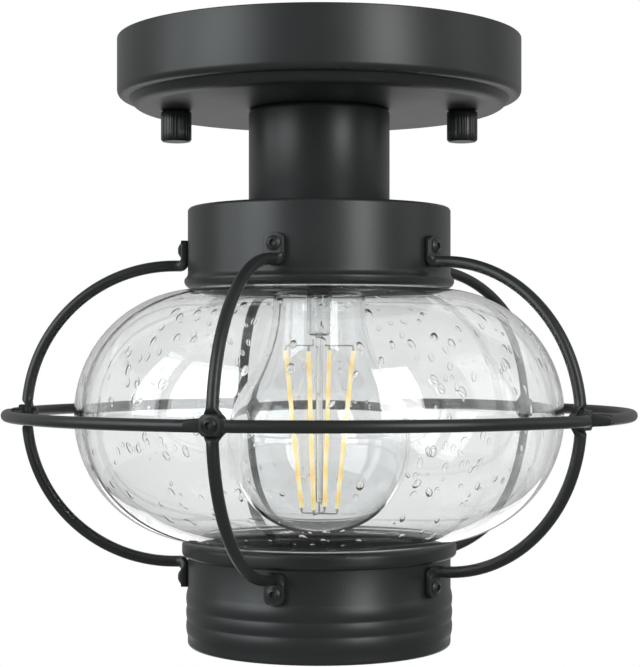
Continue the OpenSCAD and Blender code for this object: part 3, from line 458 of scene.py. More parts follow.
# ---- Upper cup ----
# Drawn from the same sheet as the stem, with a half-round bead rolled out
# round its lower edge. Five pairs of holes take the rivets of the guard's arms.
low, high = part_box("upper_cup")
cup_top, cup_edge_z, bead_out = high.z, low.z, high.x
cup_r, cup_edge = 0.04245, 0.0013
cup_in = cup_r - sheet
bead_r, bead_top_r, bead_fillet = 0.00243, 0.0011, 0.0025
bead_x = bead_out - bead_r
bead_z = cup_edge_z + sqrt(bead_r ** 2 - (cup_in - bead_x) ** 2)
bead_turn = degrees(acos(1 - (bead_out - cup_r) / (bead_top_r + bead_fillet)))
bead_top = bead_z + (bead_top_r + bead_fillet) * sin(radians(bead_turn))
bead_to = -degrees(acos((cup_in - bead_x) / bead_r))
cup_hole_r = 0.0204
coated(turned("upper_cup_shell", (
    [(cup_hole_r, cup_top)]
    + arc((cup_r - cup_edge, cup_top - cup_edge), cup_edge, 90, 0, 8)
    + arc((cup_r + bead_fillet, bead_top), bead_fillet, 180, 180 + bead_turn, 10)
    + arc((bead_out - bead_top_r, bead_z), bead_top_r, bead_turn, 0, 10)[1:]
    + arc((bead_x, bead_z), bead_r, 0, bead_to, 14)[1:]
    + arc((cup_r - cup_edge, cup_top - cup_edge), cup_edge - sheet, 0, 90, 4)
    + [(cup_hole_r, cup_top - sheet)]), around=192), "upper_cup")

# ---- Globe ----
# Mouth-blown clear glass, squashed, with a short neck at each end. Small
# seeds of trapped air lie in its wall, which is 2.5 mm thick at the belt and
# thins to 1.1 mm at the necks. A soft band centres its upper neck in the cup.


def silicone_with_painted_shade_finish(tree, place):
    """Moulded silicone rubber, soft and a little dusty. Its grey is drawn darker than the rubber's
    own, as painted shade for the inside of the cups round the necks.
    """
    dust = add(tree, "TexNoise", {"Vector": place, "Scale": 1 / 0.0008, "Detail": 3.0})
    # painted shade: these dark greys stand in for the shade inside the cups round the necks, over
    # the rubber's own grey
    tone = add(tree, "ValToRGB", {"Fac": dust}, {0: "2b2b2a", 1: "3a3a38"})
    return add(tree, "BsdfPrincipled", {
        "Base Color": tone, "Roughness": 0.5, "Subsurface Weight": 0.2, "Subsurface Scale": 0.001})


silicone = material("silicone", silicone_with_painted_shade_finish)


def band(name, node, in_r, out_r, edge, made, slot):
    """A plain ring between two radii, as high as its CAD node, with round edges."""
    low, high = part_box(node)
    fit(turned(name, (
        arc((in_r + edge, high.z - edge), edge, 180, 90, 4)
        + arc((out_r - edge, high.z - edge), edge, 90, 0, 4)
        + arc((out_r - edge, low.z + edge), edge, 0, -90, 4)
        + arc((in_r + edge, low.z + edge), edge, -90, -180, 4))), made, "fixture", slot, node)


neck_r = 0.0402
# The band's dark grey is partly the rubber's own colour and partly painted shade.
band("neck_band", "upper_gasket", neck_r, cup_in, 0.0003, silicone, "silicone")

low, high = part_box("globe")
globe_z, globe_rim = (low.z + high.z) / 2, (high.z - low.z) / 2
globe_r, side_r = 0.0787, 0.0403
neck_fillet = 0.002
glass_t, neck_t = 0.0025, 0.0011
lip_h = 0.0008               # height of the rounded lips
neck_x = neck_r + neck_fillet
neck_z = sqrt((side_r + neck_fillet) ** 2 - (neck_x + side_r - globe_r) ** 2)
neck_turn = degrees(atan2(neck_z, neck_x + side_r - globe_r))


def wall_at(turn):
    """Thickness of the glass, square to its face, at a turn in degrees up from the equator."""
    return neck_t + (glass_t - neck_t) * cos(radians(1.2 * min(turn, 75))) ** 2


def globe_side(depth):
    """The globe's outline from its lower rim to its upper, moved into the glass by a share
    of its wall. Each side is one arc that is almost level where it meets the cups."""
    turns = [neck_turn * i / 48 for i in range(49)]
    half = [(globe_r - side_r + (side_r - depth * wall_at(t)) * cos(radians(t)),
             (side_r - depth * wall_at(t)) * sin(radians(t))) for t in turns]
    half += arc((neck_x, neck_z), neck_fillet + depth * neck_t, neck_turn - 180, -180, 8)[1:]
    half.append((neck_r - depth * neck_t, globe_rim - lip_h))
    return ([(r, globe_z - z) for r, z in reversed(half[1:])] + [(r, globe_z + z) for r, z in half])


def rim(sign):
    """The rounded lip of one neck, from its outside to its inside."""
    lip = neck_t / 2
    mid = neck_r - lip
    turns = [90 * i / 6 for i in range(1, 6)]
    half = [(mid + lip * cos(radians(t)), lip_h * sin(radians(t))) for t in turns]
    points = half + [(mid, lip_h)] + [(2 * mid - r, z) for r, z in reversed(half)]
    return [(r, globe_z + sign * (globe_rim - lip_h + z)) for r, z in points]


def glass_finish(tree, place):
    """Clear soda-lime glass, blown: smooth, with slow waves from the blowing."""
    wave = add(tree, "TexNoise", {"Vector": place, "Scale": 1 / 0.05, "Detail": 1.0})
    bump = add(tree, "Bump", {"Height": wave, "Strength": 0.35, "Distance": 0.0012})
    return add(tree, "BsdfPrincipled", {
        "Base Color": linear("f7f8f8"), "Roughness": 0.0, "IOR": 1.32, "Transmission Weight": 1.0,
        "Coat Weight": 1.0, "Coat IOR": 1.5, "Coat Roughness": 0.0, "Normal": bump,
        "Coat Normal": bump})


blown_glass = material("blown_glass", glass_finish)
fit(turned("glass_globe", (
    globe_side(0) + rim(1) + list(reversed(globe_side(1))) + list(reversed(rim(-1)))),
    around=224, smooth=60), blown_glass, "fixture", "seeded_glass", "globe")

seed_count = 540
seed_least, seed_spread = 0.0004, 0.0015     # half lengths
seed_depth = 0.42                            # largest half depth, as a share of the wall
seeds_random = Random(7)
wall = globe_side(0.5)
wall = [(a, b, hypot(b[0] - a[0], b[1] - a[1])) for a, b in zip(wall, wall[1:])]
wall_length = sum(length for a, b, length in wall)
bpy.ops.object.select_all(action="DESELECT")
bpy.ops.mesh.primitive_uv_sphere_add(segments=10, ring_count=7, radius=1)
first_seed = bpy.context.object
bpy.ops.object.shade_smooth()
seeds = []
while len(seeds) < seed_count:
    along = seeds_random.uniform(0.09, 0.91) * wall_length
    for a, b, length in wall:
        if along < length:
            break
        along -= length
    r, z = (a[0] + (b[0] - a[0]) * along / length, a[1] + (b[1] - a[1]) * along / length)
    chance, turn, slant = (seeds_random.random(), seeds_random.uniform(0, 2 * pi),
                           seeds_random.gauss(0, 0.35))
    size, slim, deep = (seeds_random.random(), seeds_random.uniform(0.5, 0.72),
                        seeds_random.uniform(-0.7, 0.7))
    if chance > r / globe_r:
        continue
    half_long = seed_least + seed_spread * size
    half_wide = half_long * slim
    wide, tall = (b[0] - a[0]) / length, (b[1] - a[1]) / length
    wall_t = wall_at(degrees(acos(tall)))
    half_deep = min(half_wide, seed_depth * wall_t)
    across = Vector((-sin(turn), cos(turn), 0))
    up = Vector((wide * cos(turn), wide * sin(turn), tall))
    out = across.cross(up)
    centre = Vector((r * cos(turn), r * sin(turn), z)) + out * deep * (wall_t / 2 - half_deep)
    slanted = up * cos(slant) + across * sin(slant)
    level = slanted.cross(out)
    seed = copied(first_seed, "seed")
    seed.matrix_world = Matrix((
        (level.x * half_wide, out.x * half_deep, slanted.x * half_long, centre.x),
        (level.y * half_wide, out.y * half_deep, slanted.y * half_long, centre.y),
        (level.z * half_wide, out.z * half_deep, slanted.z * half_long, centre.z),
        (0, 0, 0, 1)))
    seeds.append(seed)
bpy.data.objects.remove(first_seed)
seeds_piece = joined("glass_seeds", *seeds)
settle()
bpy.ops.object.mode_set(mode="EDIT")
bpy.ops.mesh.select_all(action="SELECT")
bpy.ops.mesh.normals_make_consistent(inside=False)
bpy.ops.object.mode_set(mode="OBJECT")


def seed_finish(tree, place):
    """Air inside glass: light turns the other way at its skin, so each seed has a thin rim."""
    return add(tree, "BsdfGlass", {"Color": (1, 1, 1, 1), "Roughness": 0.0, "IOR": 0.9})


fit(seeds_piece, material("air_seed", seed_finish), "fixture", "seeded_glass")

# ---- Lower cup ----
# Drawn steel, open at its foot for changing the lamp: a flange round the top,
# three rolled ribs and a lip turned in. A pressed ring with a soft gasket is
# welded inside it, and the globe stands on that ring.
low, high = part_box("lower_cup")
lower_top, foot_z, flange_r = high.z, low.z, high.x
flange_foot, flange_top_r, flange_under_r = lower_top - 0.00515, 0.00175, 0.0013
foot_edge, foot_plain, lip = 0.0013, 0.002, 0.004
ribs, rib_pitch, rib_proud, rib_rise = 3, 0.00443, 0.00052, 0.00027
rib_r = ((rib_pitch / 2) ** 2 + rib_rise ** 2) / (2 * rib_rise)
rib_turn, rib_end = degrees(asin(rib_pitch / 2 / rib_r)), degrees(acos(1 - rib_proud / rib_r))
rib_z = foot_z + foot_edge + foot_plain + rib_r * sin(radians(rib_end))
rib_arcs = []
for i in reversed(range(ribs)):
    rib_arcs += arc((cup_r + rib_proud - rib_r, rib_z + i * rib_pitch), rib_r,
                    rib_end if i == ribs - 1 else rib_turn, -rib_turn if i else -rib_end, 12)
coated(turned("lower_cup_shell", (
    [(cup_in, lower_top)]
    + arc((flange_r - flange_top_r, lower_top - flange_top_r), flange_top_r, 90, 0, 10)
    + arc((flange_r - flange_under_r, flange_foot + flange_under_r), flange_under_r, 0, -90, 8)
    + [(cup_r + 0.0002, flange_foot), (cup_r, flange_foot - 0.0002)]
    + rib_arcs
    + arc((cup_r - foot_edge, foot_z + foot_edge), foot_edge, 0, -90, 8)
    + arc((cup_r - lip + sheet / 2, foot_z + sheet / 2), sheet / 2, -90, -270, 6)
    + arc((cup_r - foot_edge, foot_z + foot_edge), foot_edge - sheet, -90, 0, 4)), around=192),
    "lower_cup")

seat_low, seat_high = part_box("seat_ring")
open_r = cup_in - 0.00295
seat_edge = 0.0012
coated(turned("seat_ring_pressing", (
    [(open_r, seat_high.z)]
    + arc((cup_in - seat_edge, seat_high.z - seat_edge), seat_edge, 90, 0, 5)
    + [(cup_in, seat_low.z), (cup_in - sheet, seat_low.z)]
    + arc((cup_in - seat_edge, seat_high.z - seat_edge), seat_edge - sheet, 0, 90, 3)
    + [(open_r, seat_high.z - sheet)]), around=160), "seat_ring")
band("rim_gasket", "lower_gasket", open_r, cup_in - 0.00005, 0.0003, silicone, "silicone")


# ---- Wire guard ----
# Five arms of 3.6 mm steel wire, each bent to a half circle. Their ends are
# hammered to round-ended tabs for the cups, and their middles to flat pads.
# A belt ring of the same wire steps in to five flat pads on those of the arms.
def forged(name, stations, across, closed, around=28):
    """Sweeps a rounded section along stations. Each has the section's two opposite points,
    its half width along across and how square it is: 2 is round, 8 nearly square. The bend
    of a wire and its hammered flats flow into each other, which no primitive gives."""
    corners = []
    for near, far, half, square in stations:
        centre, reach = (near + far) / 2, (far - near) / 2
        for i in range(around):
            c, s = cos(2 * pi * i / around), sin(2 * pi * i / around)
            c, s = (abs(v) ** (2 / square) * (1 if v > 0 else -1) for v in (c, s))
            corners.append(centre + reach * c + across * half * s)
    count = len(stations)
    faces = [[(k % count) * around + i, (k % count) * around + (i + 1) % around,
              ((k + 1) % count) * around + (i + 1) % around, ((k + 1) % count) * around + i]
             for k in range(count if closed else count - 1) for i in range(around)]
    if not closed:
        faces += [list(range(around)), list(range((count - 1) * around, count * around))]
    mesh = bpy.data.meshes.new(name)
    mesh.from_pydata(corners, [], faces)
    piece = placed(name, mesh)
    only(piece)
    bpy.ops.object.mode_set(mode="EDIT")
    closed_up()
    bpy.ops.object.shade_smooth_by_angle(angle=radians(40))
    return piece


wire_r = 0.0018
arm_count = 5
arm_turns = [radians(180 + 360 / arm_count * k) for k in range(arm_count)]
tab_in, tab_t, tab_half = 0.0425, 0.0022, 0.0032
tab_end, tab_corner = 0.0560, 0.002
tab_bend = 0.0026            # outer radius of the bend from tab to wire
arm_bend, arm_foot = 0.0478, 0.04685
arm_h = 0.0478               # height of the wire where it leaves the tab
pad_in, pad_t = 0.09285, 0.0021
arm_pad_half, pad_half_h, pad_chamfer = 0.0036, 0.00305, 0.001
pad_slope = 0.0016


def arm_stations():
    """Half an arm, from the end of its tab to its middle: the X and Z of a near and a far
    point, half the width, and how square the section is."""
    half = []
    flat, tab_out, low_z, top_z, inner = 7, tab_in + tab_t, arm_h - wire_r, arm_h + wire_r, 0.0005
    for i in range(7):       # the tab's rounded end
        t = radians(90 - 15 * i)
        z = tab_end - tab_corner + tab_corner * sin(t)
        edge = 0.00025 if i == 0 else 0
        half.append((tab_in + edge, z, tab_out - edge, z,
                     tab_half - tab_corner * (1 - cos(t)), flat))
    half.append((tab_in, top_z + 0.0006, tab_out, top_z + 0.0006, tab_half, flat))
    for i in range(7):       # the bend, on its outer and inner arcs
        t = radians(180 + 15 * i)
        half.append((tab_in + tab_bend * (1 + cos(t)), low_z + tab_bend * (1 + sin(t)),
                     tab_out + inner * (1 + cos(t)), top_z + inner * (1 + sin(t)),
                     tab_half + (wire_r + 0.0004 - tab_half) * (i / 6) ** 1.5, flat - i * 0.72))
    half.append((arm_foot - 0.001, low_z, arm_foot - 0.001, top_z, wire_r + 0.0001, 2.2))
    low_turn = degrees(asin((pad_half_h + pad_slope) / arm_bend))
    near_r, far_r = arm_bend - wire_r, arm_bend + wire_r
    for i in range(37):      # the round wire's quarter turn
        t = radians(90 + (low_turn - 90) * i / 36)
        half.append((arm_foot + near_r * cos(t), near_r * sin(t),
                     arm_foot + far_r * cos(t), far_r * sin(t), wire_r, 2))
    for z, thick, wide, square in (
            (pad_half_h + 0.7 * pad_slope, 0.0032, 0.00195, 3),
            (pad_half_h, pad_t, arm_pad_half - pad_chamfer, 6),
            (pad_half_h - 0.0003, pad_t, arm_pad_half - 0.7 * pad_chamfer, 8),
            (pad_half_h - pad_chamfer, pad_t, arm_pad_half, 9)):
        half.append((pad_in, z, pad_in + thick, z, wide, square))
    return half


half_arm = arm_stations()
whole_arm = half_arm + [(a, -b, c, -d, w, n) for a, b, c, d, w, n in reversed(half_arm)]
first_arm = forged("arm", [
    (Vector((a, 0, globe_z + b)), Vector((c, 0, globe_z + d)), w, n)
    for a, b, c, d, w, n in whole_arm], Vector((0, 1, 0)), False)


def turned_copy(piece, name, turn):
    """A copy of a piece, turned round the lantern's axis."""
    twin = copied(piece, name)
    only(twin)
    twin.rotation_euler = (0, 0, turn)
    settle()
    return twin


for k, turn in enumerate(arm_turns, 1):
    coated(turned_copy(first_arm, "guard_arm_%d" % k, turn), "arm_%d" % k)
bpy.data.objects.remove(first_arm)

low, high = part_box("guard_ring")
ring_r = high.x - wire_r - 0.00002
ring_step = 0.00275
ring_pad_out = ring_r - ring_step
ring_pad_in = ring_pad_out - pad_t
ring_pad_half, ring_half_h = 0.0031, 0.003
ramp_y = ring_pad_half + ring_step + 0.0002


def ring_fifth():
    """One fifth of the belt ring: a pad, its two ramps and the round wire between pads."""
    flats = ((0, ring_half_h, 9), (ring_pad_half - 0.001, ring_half_h, 9),
             (ring_pad_half - 0.0003, ring_half_h - 0.0007, 8),
             (ring_pad_half, ring_half_h - 0.001, 6))
    ramp_x = sqrt(ring_r ** 2 - ramp_y ** 2)
    slopes = [(ring_pad_half + (ramp_y - ring_pad_half) * s, s) for s in (0.12, 0.35, 0.6, 0.85, 1)]
    side = [(ring_pad_in, ring_pad_out, y, half, square) for y, half, square in flats]
    side += [(ring_pad_in + (ramp_x - wire_r - ring_pad_in) * s,
              ring_pad_out + (ramp_x + wire_r - ring_pad_out) * s,
              y, 0.002 + (wire_r - 0.002) * s, 5 - 3 * s) for y, s in slopes]
    side = [(a, b, -y, half, square) for a, b, y, half, square in reversed(side[1:])] + side
    fifth = [(Vector((a, y, globe_z)), Vector((b, y, globe_z)), half, square)
             for a, b, y, half, square in side]
    start = asin(ramp_y / ring_r)
    near_r, far_r = ring_r - wire_r, ring_r + wire_r
    for i in range(1, 30):
        t = start + (2 * pi / arm_count - 2 * start) * i / 30
        fifth.append((Vector((near_r * cos(t), near_r * sin(t), globe_z)),
                      Vector((far_r * cos(t), far_r * sin(t), globe_z)), wire_r, 2))
    return fifth


fifth = ring_fifth()
around_ring = []
for turn in arm_turns:
    spun = Matrix.Rotation(turn, 3, "Z")
    around_ring += [(spun @ near, spun @ far, half, square) for near, far, half, square in fifth]
coated(forged("belt_ring", around_ring, Vector((0, 0, 1)), True), "guard_ring")

# ---- Rivets ----
# Blind rivets with small domed heads, set from outside and coated with the
# rest. Their drawn stems leave a hole down each, and their far ends bulge.
rivet_r, rivet_hole, head_r, head_h = 0.0016, 0.0009, 0.0024, 0.0011
bulge_r, bulge_h = 0.0023, 0.0015
dome_r = (head_r ** 2 + head_h ** 2) / (2 * head_h)
dome_from = degrees(asin(1 - head_h / dome_r))
dome_to = degrees(acos(rivet_hole / dome_r))


def rivet(name, grip):
    """One rivet along Z: the head's face at z = 0 and the bulge grip below it."""
    dome = arc((0, head_h - dome_r), dome_r, dome_from, dome_to, 7)
    end, bulge_edge, head_edge = -grip - bulge_h, 0.0004, 0.00015
    return turned(name, (
        [(rivet_hole, end), (bulge_r - bulge_edge, end), (bulge_r, end + bulge_edge),
         (bulge_r, -grip), (rivet_r, -grip), (rivet_r, 0), (head_r - 0.0001, 0),
         (head_r, head_edge)]
        + dome[1:-1]
        + [(rivet_hole + 0.00012, dome[-1][1]), (rivet_hole, dome[-1][1] - head_edge)]),
        around=36, smooth=50)


def riveted(name, node, face_r, grip, z):
    """Five rivets in one piece, one at each arm, with their heads on a face at face_r."""
    first = rivet(name, grip)
    first.rotation_euler = (0, radians(90), 0)
    first.location = (face_r, 0, z)
    settle()
    others = [turned_copy(first, name + "_copy", turn) for turn in arm_turns]
    bpy.data.objects.remove(first)
    coated(joined(name, *others), node)


rivet_rise = 0.0528
cup_face = tab_in + tab_t
cup_grip = cup_face - sqrt(cup_in ** 2 - bulge_r ** 2) + 0.00005
riveted("rivets_upper", "upper_rivets", cup_face, cup_grip, globe_z + rivet_rise)
riveted("rivets_lower", "lower_rivets", cup_face, cup_grip, globe_z - rivet_rise)
riveted("rivets_belt", "ring_rivets", ring_pad_out, ring_pad_out - pad_in, globe_z)

# ---- Lamp ----
# A clear household lamp with four upright filaments: a blown bulb sealed to a
# glass mount, nickel wires, and a rolled aluminium screw cap with a black
# glass insulator and a solder tip.
low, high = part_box("bulb_glass")
lamp_r, lamp_z = high.x, low.z + high.x
cap_low, cap_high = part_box("bulb_cap")
cap_r, cap_foot, cap_in_r = cap_high.x, cap_low.z, 0.0123
lamp_t = 0.0008
sealed_r = cap_in_r - 0.0001
lamp_neck_r, lamp_neck_h, neck_in_cap, gather_h = 0.0149, 0.0095, 0.008, 0.0042
flare_z = cap_foot - lamp_neck_h
flare_rise = flare_z - lamp_z
flare_r = (lamp_neck_r ** 2 + flare_rise ** 2 - lamp_r ** 2) / (2 * (lamp_r - lamp_neck_r))
flare_turn = degrees(atan2(flare_rise, lamp_neck_r + flare_r))


def lamp_side(inset):
    """The bulb's outline from inside the cap down to its lowest point, sunk by inset."""
    gather = [sealed_r + (lamp_neck_r - sealed_r) * (1 - cos(pi * i / 8)) / 2 for i in range(9)]
    return (
        [(sealed_r - inset, cap_foot + neck_in_cap)]
        + [(r - inset, cap_foot - gather_h * i / 8) for i, r in enumerate(gather)]
        + arc((lamp_neck_r + flare_r, flare_z), flare_r + inset, 180, 180 + flare_turn, 16)
        + arc((0, lamp_z), lamp_r - inset, flare_turn, -90, 44)[1:-1]
        + [(on_axis, lamp_z - lamp_r + inset)])


def lamp_glass_finish(tree, place):
    """Thin clear soda-lime glass, blown in a mould: very smooth."""
    wave = add(tree, "TexNoise", {"Vector": place, "Scale": 1 / 0.03, "Detail": 1.0})
    bump = add(tree, "Bump", {"Height": wave, "Strength": 0.15, "Distance": 0.0004})
    return add(tree, "BsdfPrincipled", {
        "Base Color": linear("fcfdfd"), "Roughness": 0.0, "IOR": 1.5, "Transmission Weight": 1.0,
        "Normal": bump})


lamp_glass = material("lamp_glass", lamp_glass_finish)
fit(turned("lamp_bulb", lamp_side(0) + list(reversed(lamp_side(lamp_t))), around=144, smooth=60),
    lamp_glass, "bulb", "lamp_glass", "bulb_glass")

mount_r, mount_t, tube_r, rod_r = 0.00405, 0.0007, 0.0022, 0.0011
mount_foot = cap_foot - 0.019
rod_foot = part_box("bulb_stem")[0].z
rod_fillet, rod_edge = 0.0008, 0.0004
seal_z = cap_foot + neck_in_cap
seal_r = sealed_r - lamp_t
seal_bend = seal_r - mount_r - 0.0002
seal_mid = (mount_r + seal_bend, seal_z - 0.001 - seal_bend)
round_r = mount_r - tube_r
round_mid = (mount_r - round_r, mount_foot + round_r)
floor_z = mount_foot + 0.0009
fit(turned("lamp_mount", (
    [(seal_r, seal_z)]
    + arc(seal_mid, seal_bend, 90, 180, 12)
    + arc(round_mid, round_r, 0, -75, 10)
    + arc((rod_r + rod_fillet, mount_foot - rod_fillet), rod_fillet, 100, 180, 6)
    + [(rod_r, rod_foot + rod_edge), (rod_r - rod_edge, rod_foot), (on_axis, rod_foot),
       (on_axis, floor_z), (tube_r - 0.0008, floor_z)]
    + arc(round_mid, round_r - mount_t, -60, 0, 6)
    + arc(seal_mid, seal_bend + mount_t, 180, 110, 12)),
    around=72, smooth=50), lamp_glass, "bulb", "lamp_glass", "bulb_stem")


def aluminium_finish(tree, place):
    """Thin rolled aluminium: soft grey shine with fine marks round the cap."""
    stretch = add(tree, "Mapping", {"Vector": place, "Scale": (1, 1, 14)})
    marks = add(tree, "TexNoise", {"Vector": stretch, "Scale": 1 / 0.002,
                                   "Detail": 5.0})
    tone = add(tree, "ValToRGB", {"Fac": marks}, {0: "b6b7b8", 1: "dcdcdc"})
    gloss = add(tree, "MapRange", {"Value": marks, "To Min": 0.25, "To Max": 0.42})
    return add(tree, "BsdfPrincipled", {"Base Color": tone, "Metallic": 1.0, "Roughness": gloss})


def black_glass_finish(tree, place):
    """Opaque black glass, pressed hot into the cap: glossy with a rippled skin."""
    ripple = add(tree, "TexNoise", {"Vector": place, "Scale": 1 / 0.002, "Detail": 1.0})
    bump = add(tree, "Bump", {"Height": ripple, "Strength": 0.3, "Distance": 0.0002})
    return add(tree, "BsdfPrincipled", {
        "Base Color": linear("0d0d0f"), "Roughness": 0.12, "IOR": 1.52, "Normal": bump})


def nickel_finish(tree, place):
    """Nickel plating and tinned solder: pale warm grey and smooth."""
    cloud = add(tree, "TexNoise", {"Vector": place, "Scale": 1 / 0.001, "Detail": 2.0})
    tone = add(tree, "ValToRGB", {"Fac": cloud}, {0: "9c9890", 1: "c4c0b8"})
    return add(tree, "BsdfPrincipled", {"Base Color": tone, "Metallic": 1.0, "Roughness": 0.28})


def phosphor_finish_with_painted_glow(tree, place):
    """Silicone loaded with yellow phosphor over a row of chips that lie 1.3 mm apart. Though the
    lamp is off, the phosphor's own colour is also given off as a faint painted glow.
    """
    row = add(tree, "TexWave", {"Vector": place, "Scale": 0.05 / 0.0013, "Distortion": 0.6,
                                "Detail": 1.0}, bands_direction="Z")
    tone = add(tree, "ValToRGB", {"Fac": row.outputs["Fac"]}, {0: "f8d684", 1: "feedb8"})
    # painted glow: the unlit filaments give off their own colour faintly, so that they look
    # brighter
    return add(tree, "BsdfPrincipled", {
        "Base Color": tone, "Roughness": 0.45, "Subsurface Weight": 0.3, "Subsurface Scale":
        0.0006, "Emission Color": tone, "Emission Strength": 0.85})


cap_depth, cap_plain, cap_turns, turn_rings = 0.00055, 0.0026, 5, 12
cap_start = cap_foot + cap_plain
cap_top = cap_start + cap_turns * pitch
cap_side = [cap_start + i * pitch / turn_rings for i in range(turn_rings * cap_turns + 1)]
cap_valley = cap_r - cap_depth
tip_low, tip_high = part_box("bulb_contact")
cap_shoulder = tip_low.z - 0.003
cap_mouth_r = cap_r - 0.0026
cap_wall = 0.0004
cap = turned("lamp_cap", (
    [(cap_in_r, cap_foot), (cap_valley, cap_foot)] + [(cap_valley, z) for z in cap_side]
    + [(cap_valley - 0.0004, cap_top + 0.0006), (cap_mouth_r, cap_shoulder),
       (cap_mouth_r - cap_wall, cap_shoulder), (cap_in_r, cap_top - 0.0006)]), around=96)
near, run_out = 0.0001, 0.0015
for vertex in cap.data.vertices:      # the rolled thread, which runs out at both ends
    x, y, z = vertex.co
    r = hypot(x, y)
    if r > cap_valley - near and cap_start - near < z < cap_top + near:
        fade = min(1, (z - cap_start) / run_out, (cap_top - z) / run_out)
        turn = (z / pitch + atan2(y, x) / (2 * pi)) % 1
        r_new = cap_valley + cap_depth * max(0, fade) * (1 - cos(2 * pi * turn)) / 2
        vertex.co.x, vertex.co.y = x * r_new / r, y * r_new / r
fit(cap, material("rolled_aluminium", aluminium_finish), "bulb", "lamp_cap", "bulb_cap")

low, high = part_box("bulb_insulator")
insulator_r, tip_r = cap_mouth_r - cap_wall, 0.0046
black_glass = material("black_glass", black_glass_finish)
fit(turned("lamp_insulator", (
    [(on_axis, high.z), (tip_r, high.z), (0.0053, high.z - 0.0002), (0.0072, high.z - 0.0011),
     (insulator_r - 0.0003, low.z + 0.0006), (insulator_r, low.z), (on_axis, low.z)]),
    around=64, smooth=50), black_glass, "bulb", "black_glass", "bulb_insulator")

nickel = material("nickel_and_solder", nickel_finish)
fit(turned("solder_tip", (
    [(on_axis, tip_high.z), (0.0016, tip_high.z - 0.00005), (0.0029, tip_high.z - 0.0003),
     (0.0040, tip_high.z - 0.0008), (tip_r, tip_low.z + 0.0002), (tip_r, tip_low.z),
     (on_axis, tip_low.z)]),
    around=48, smooth=50), nickel, "bulb_tip", "nickel", "bulb_contact")

# The filaments lean in towards the axis, from a wide ring at the top to a narrow one.
filament_turns = [radians(-17.2 + 90 * i) for i in range(4)]
filament_top_r, filament_foot_r = 0.0115, 0.006
filament_r, filament_end = 0.0007, 0.0004
low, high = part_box("bulb_filaments")
filament_top, filament_foot = high.z, low.z


def on_ring(turn, r, z):
    """The point at height z on a ring of radius r."""
    return Vector((r * cos(turn), r * sin(turn), z))


phosphor = material("phosphor", phosphor_finish_with_painted_glow)
filaments = []
for turn in filament_turns:
    head = on_ring(turn, filament_top_r, filament_top)
    foot = on_ring(turn, filament_foot_r, filament_foot)
    length = (head - foot).length
    piece = turned("filament", (
        [(on_axis, 0)] + arc((filament_r - filament_end, filament_end), filament_end, -90, 0, 3)
        + [(filament_r, length * i / 8) for i in range(1, 8)]
        + arc((filament_r - filament_end, length - filament_end), filament_end, 0, 90, 3)
        + [(on_axis, length)]), around=16, smooth=60)
    leaning = (head - foot).to_track_quat("Z", "Y").to_matrix().to_4x4()
    piece.matrix_world = Matrix.Translation(foot) @ leaning
    settle()
    filaments.append(piece)
fit(joined("lamp_filaments", *filaments), phosphor, "bulb", "phosphor", "bulb_filaments")


def drawn_wire(name, points, r, bend):
    """A round wire along a few points, with its corners bent round."""
    curve = bpy.data.curves.new(name, "CURVE")
    curve.dimensions = "3D"
    curve.bevel_depth = r
    curve.bevel_resolution = 2
    curve.use_fill_caps = True
    path = [points[0]]
    for before, corner, after in zip(points, points[1:], points[2:]):
        to_before, to_after = (before - corner).normalized(), (after - corner).normalized()
        path += [corner + to_before * bend, corner + (to_before + to_after) * bend * 0.25,
                 corner + to_after * bend]
    path.append(points[-1])
    line = curve.splines.new("POLY")
    line.points.add(len(path) - 1)
    for point, place in zip(line.points, path):
        point.co = (*place, 1)
    only(placed(name, curve))
    bpy.ops.object.convert(target="MESH")
    bpy.ops.object.shade_smooth_by_angle(angle=radians(60))
    return bpy.context.object


def upright(z):
    """A step of z along the axis."""
    return Vector((0, 0, z))


lead_x, thin_r, thin_bend, pin_r = 0.002, 0.00025, 0.0006, 0.00042
pin_in, pin_out = 0.0002, 0.0011         # a pin's length in a filament's end and out of it
top_wire_z, foot_wire_z = filament_top + 0.0016, filament_foot - 0.0016
wires = []
for i, turn in enumerate(filament_turns):
    lead = Vector(((1 if i < 2 else -1) * lead_x, 0, 0))
    head, foot = on_ring(turn, filament_top_r, 0), on_ring(turn, filament_foot_r, 0)
    up, top, down = upright(mount_foot - 0.001), upright(top_wire_z), upright(foot_wire_z)
    for path in ([lead + up, lead + top, head + top, head + upright(filament_top)],
                 [upright(rod_foot), down, foot + down, foot + upright(filament_foot)]):
        wires.append(drawn_wire("wire", path, thin_r, thin_bend))
    for ring, z0, z1 in ((head, filament_top - pin_in, filament_top + pin_out),
                         (foot, filament_foot - pin_out, filament_foot + pin_in)):
        pin = turned("pin", [(on_axis, z0), (pin_r, z0), (pin_r, z1), (on_axis, z1)], around=12)
        wires.append(moved(pin, ring.x, ring.y, 0))
fit(joined("lamp_wires", *wires), nickel, "bulb", "nickel", "bulb_wires")

# ---- Light and floor ----
# Plain studio light: two tall soft boxes in front, a tall strip at each side,
# and a low one that fills from behind. The background is white. A pale floor
# lies a little over a metre under the ceiling, outside the photograph's view.


lamp_way = 1.2              # from the axis to each lamp
side_low, side_high = -0.14, 0.80


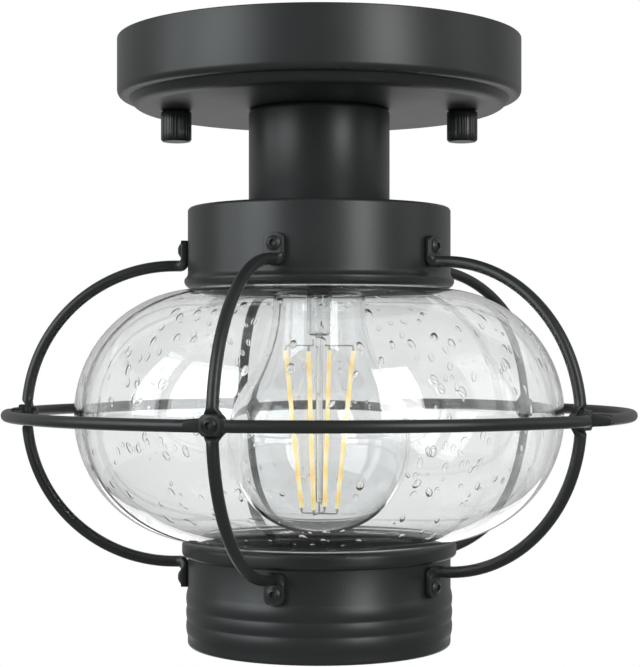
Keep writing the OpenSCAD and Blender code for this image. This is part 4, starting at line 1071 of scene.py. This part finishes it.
def soft_box(name, azimuth, wide, low_z, high_z, bright, colour, lean=0):
    """A rectangular lamp at an azimuth from the front. It stands upright, or leans back by
    an angle in degrees."""
    data = bpy.data.lights.new(name, "AREA")
    data.shape = "RECTANGLE"
    data.size, data.size_y = wide, high_z - low_z
    data.energy = bright * pi * wide * (high_z - low_z)
    data.color = linear(colour)[:3]
    lamp = placed(name, data)
    turn = radians(azimuth - 90)
    lamp.location = (lamp_way * cos(turn), lamp_way * sin(turn), (low_z + high_z) / 2)
    lamp.rotation_euler = (radians(90 + lean), 0, turn + radians(90))


soft_box("left_box", -54, 0.70, side_low, side_high, 4.1, "f4f9fa")
soft_box("left_strip", -85, 0.30, side_low, side_high, 2.9, "f4f9fa")
soft_box("right_box", 37, 0.42, side_low, side_high, 6.6, "ffffff")
soft_box("right_strip", 86, 0.50, side_low, side_high, 0.8, "ffffff")
soft_box("back_fill", 180, 1.6, -1.1, -0.5, 1.1, "ffffff", lean=35)

# The camera and clear glass see plain white. Matt surfaces get 0.6 of it, and glossy ones
# less: 0.08 from in front, rising to 0.4 from behind, so that black edges keep a soft line.
world = bpy.data.worlds.new("studio")
bpy.context.scene.world = world
world.use_nodes = True
world.node_tree.nodes.clear()
tree = world.node_tree
ray = add(tree, "LightPath")
way = add(tree, "SeparateXYZ", {"Vector": add(tree, "TexCoord").outputs["Generated"]})
shiny = add(tree, "MapRange", {"Value": way.outputs["Y"], "From Min": -0.1, "From Max": 0.6,
                               "To Min": 0.08, "To Max": 0.4})
room = add(tree, "Mix", {"Factor": ray.outputs["Is Glossy Ray"], "A": 0.6,
                         "B": shiny})
seen = add(tree, "Math", {0: ray.outputs["Is Camera Ray"], 1: ray.outputs["Is Transmission Ray"]},
           operation="MAXIMUM")
level = add(tree, "Mix", {"Factor": seen, "A": room, "B": 1.0})
sky = add(tree, "Background", {"Color": (1, 1, 1, 1), "Strength": level})
add(tree, "OutputWorld", {"Surface": sky})


def floor_finish(tree, place):
    """Pale matt paint."""
    grain = add(tree, "TexNoise", {"Vector": place, "Scale": 1 / 0.02, "Detail": 3.0})
    tone = add(tree, "ValToRGB", {"Fac": grain}, {0: "8c8c8a", 1: "929290"})
    return add(tree, "BsdfPrincipled", {"Base Color": tone, "Roughness": 0.8})


bpy.ops.object.select_all(action="DESELECT")
bpy.ops.mesh.primitive_circle_add(vertices=96, radius=3, fill_type="NGON", location=(0, 0, -1.2))
floor = bpy.context.object
floor.name = "floor"
floor.data.materials.append(material("floor_paint", floor_finish))
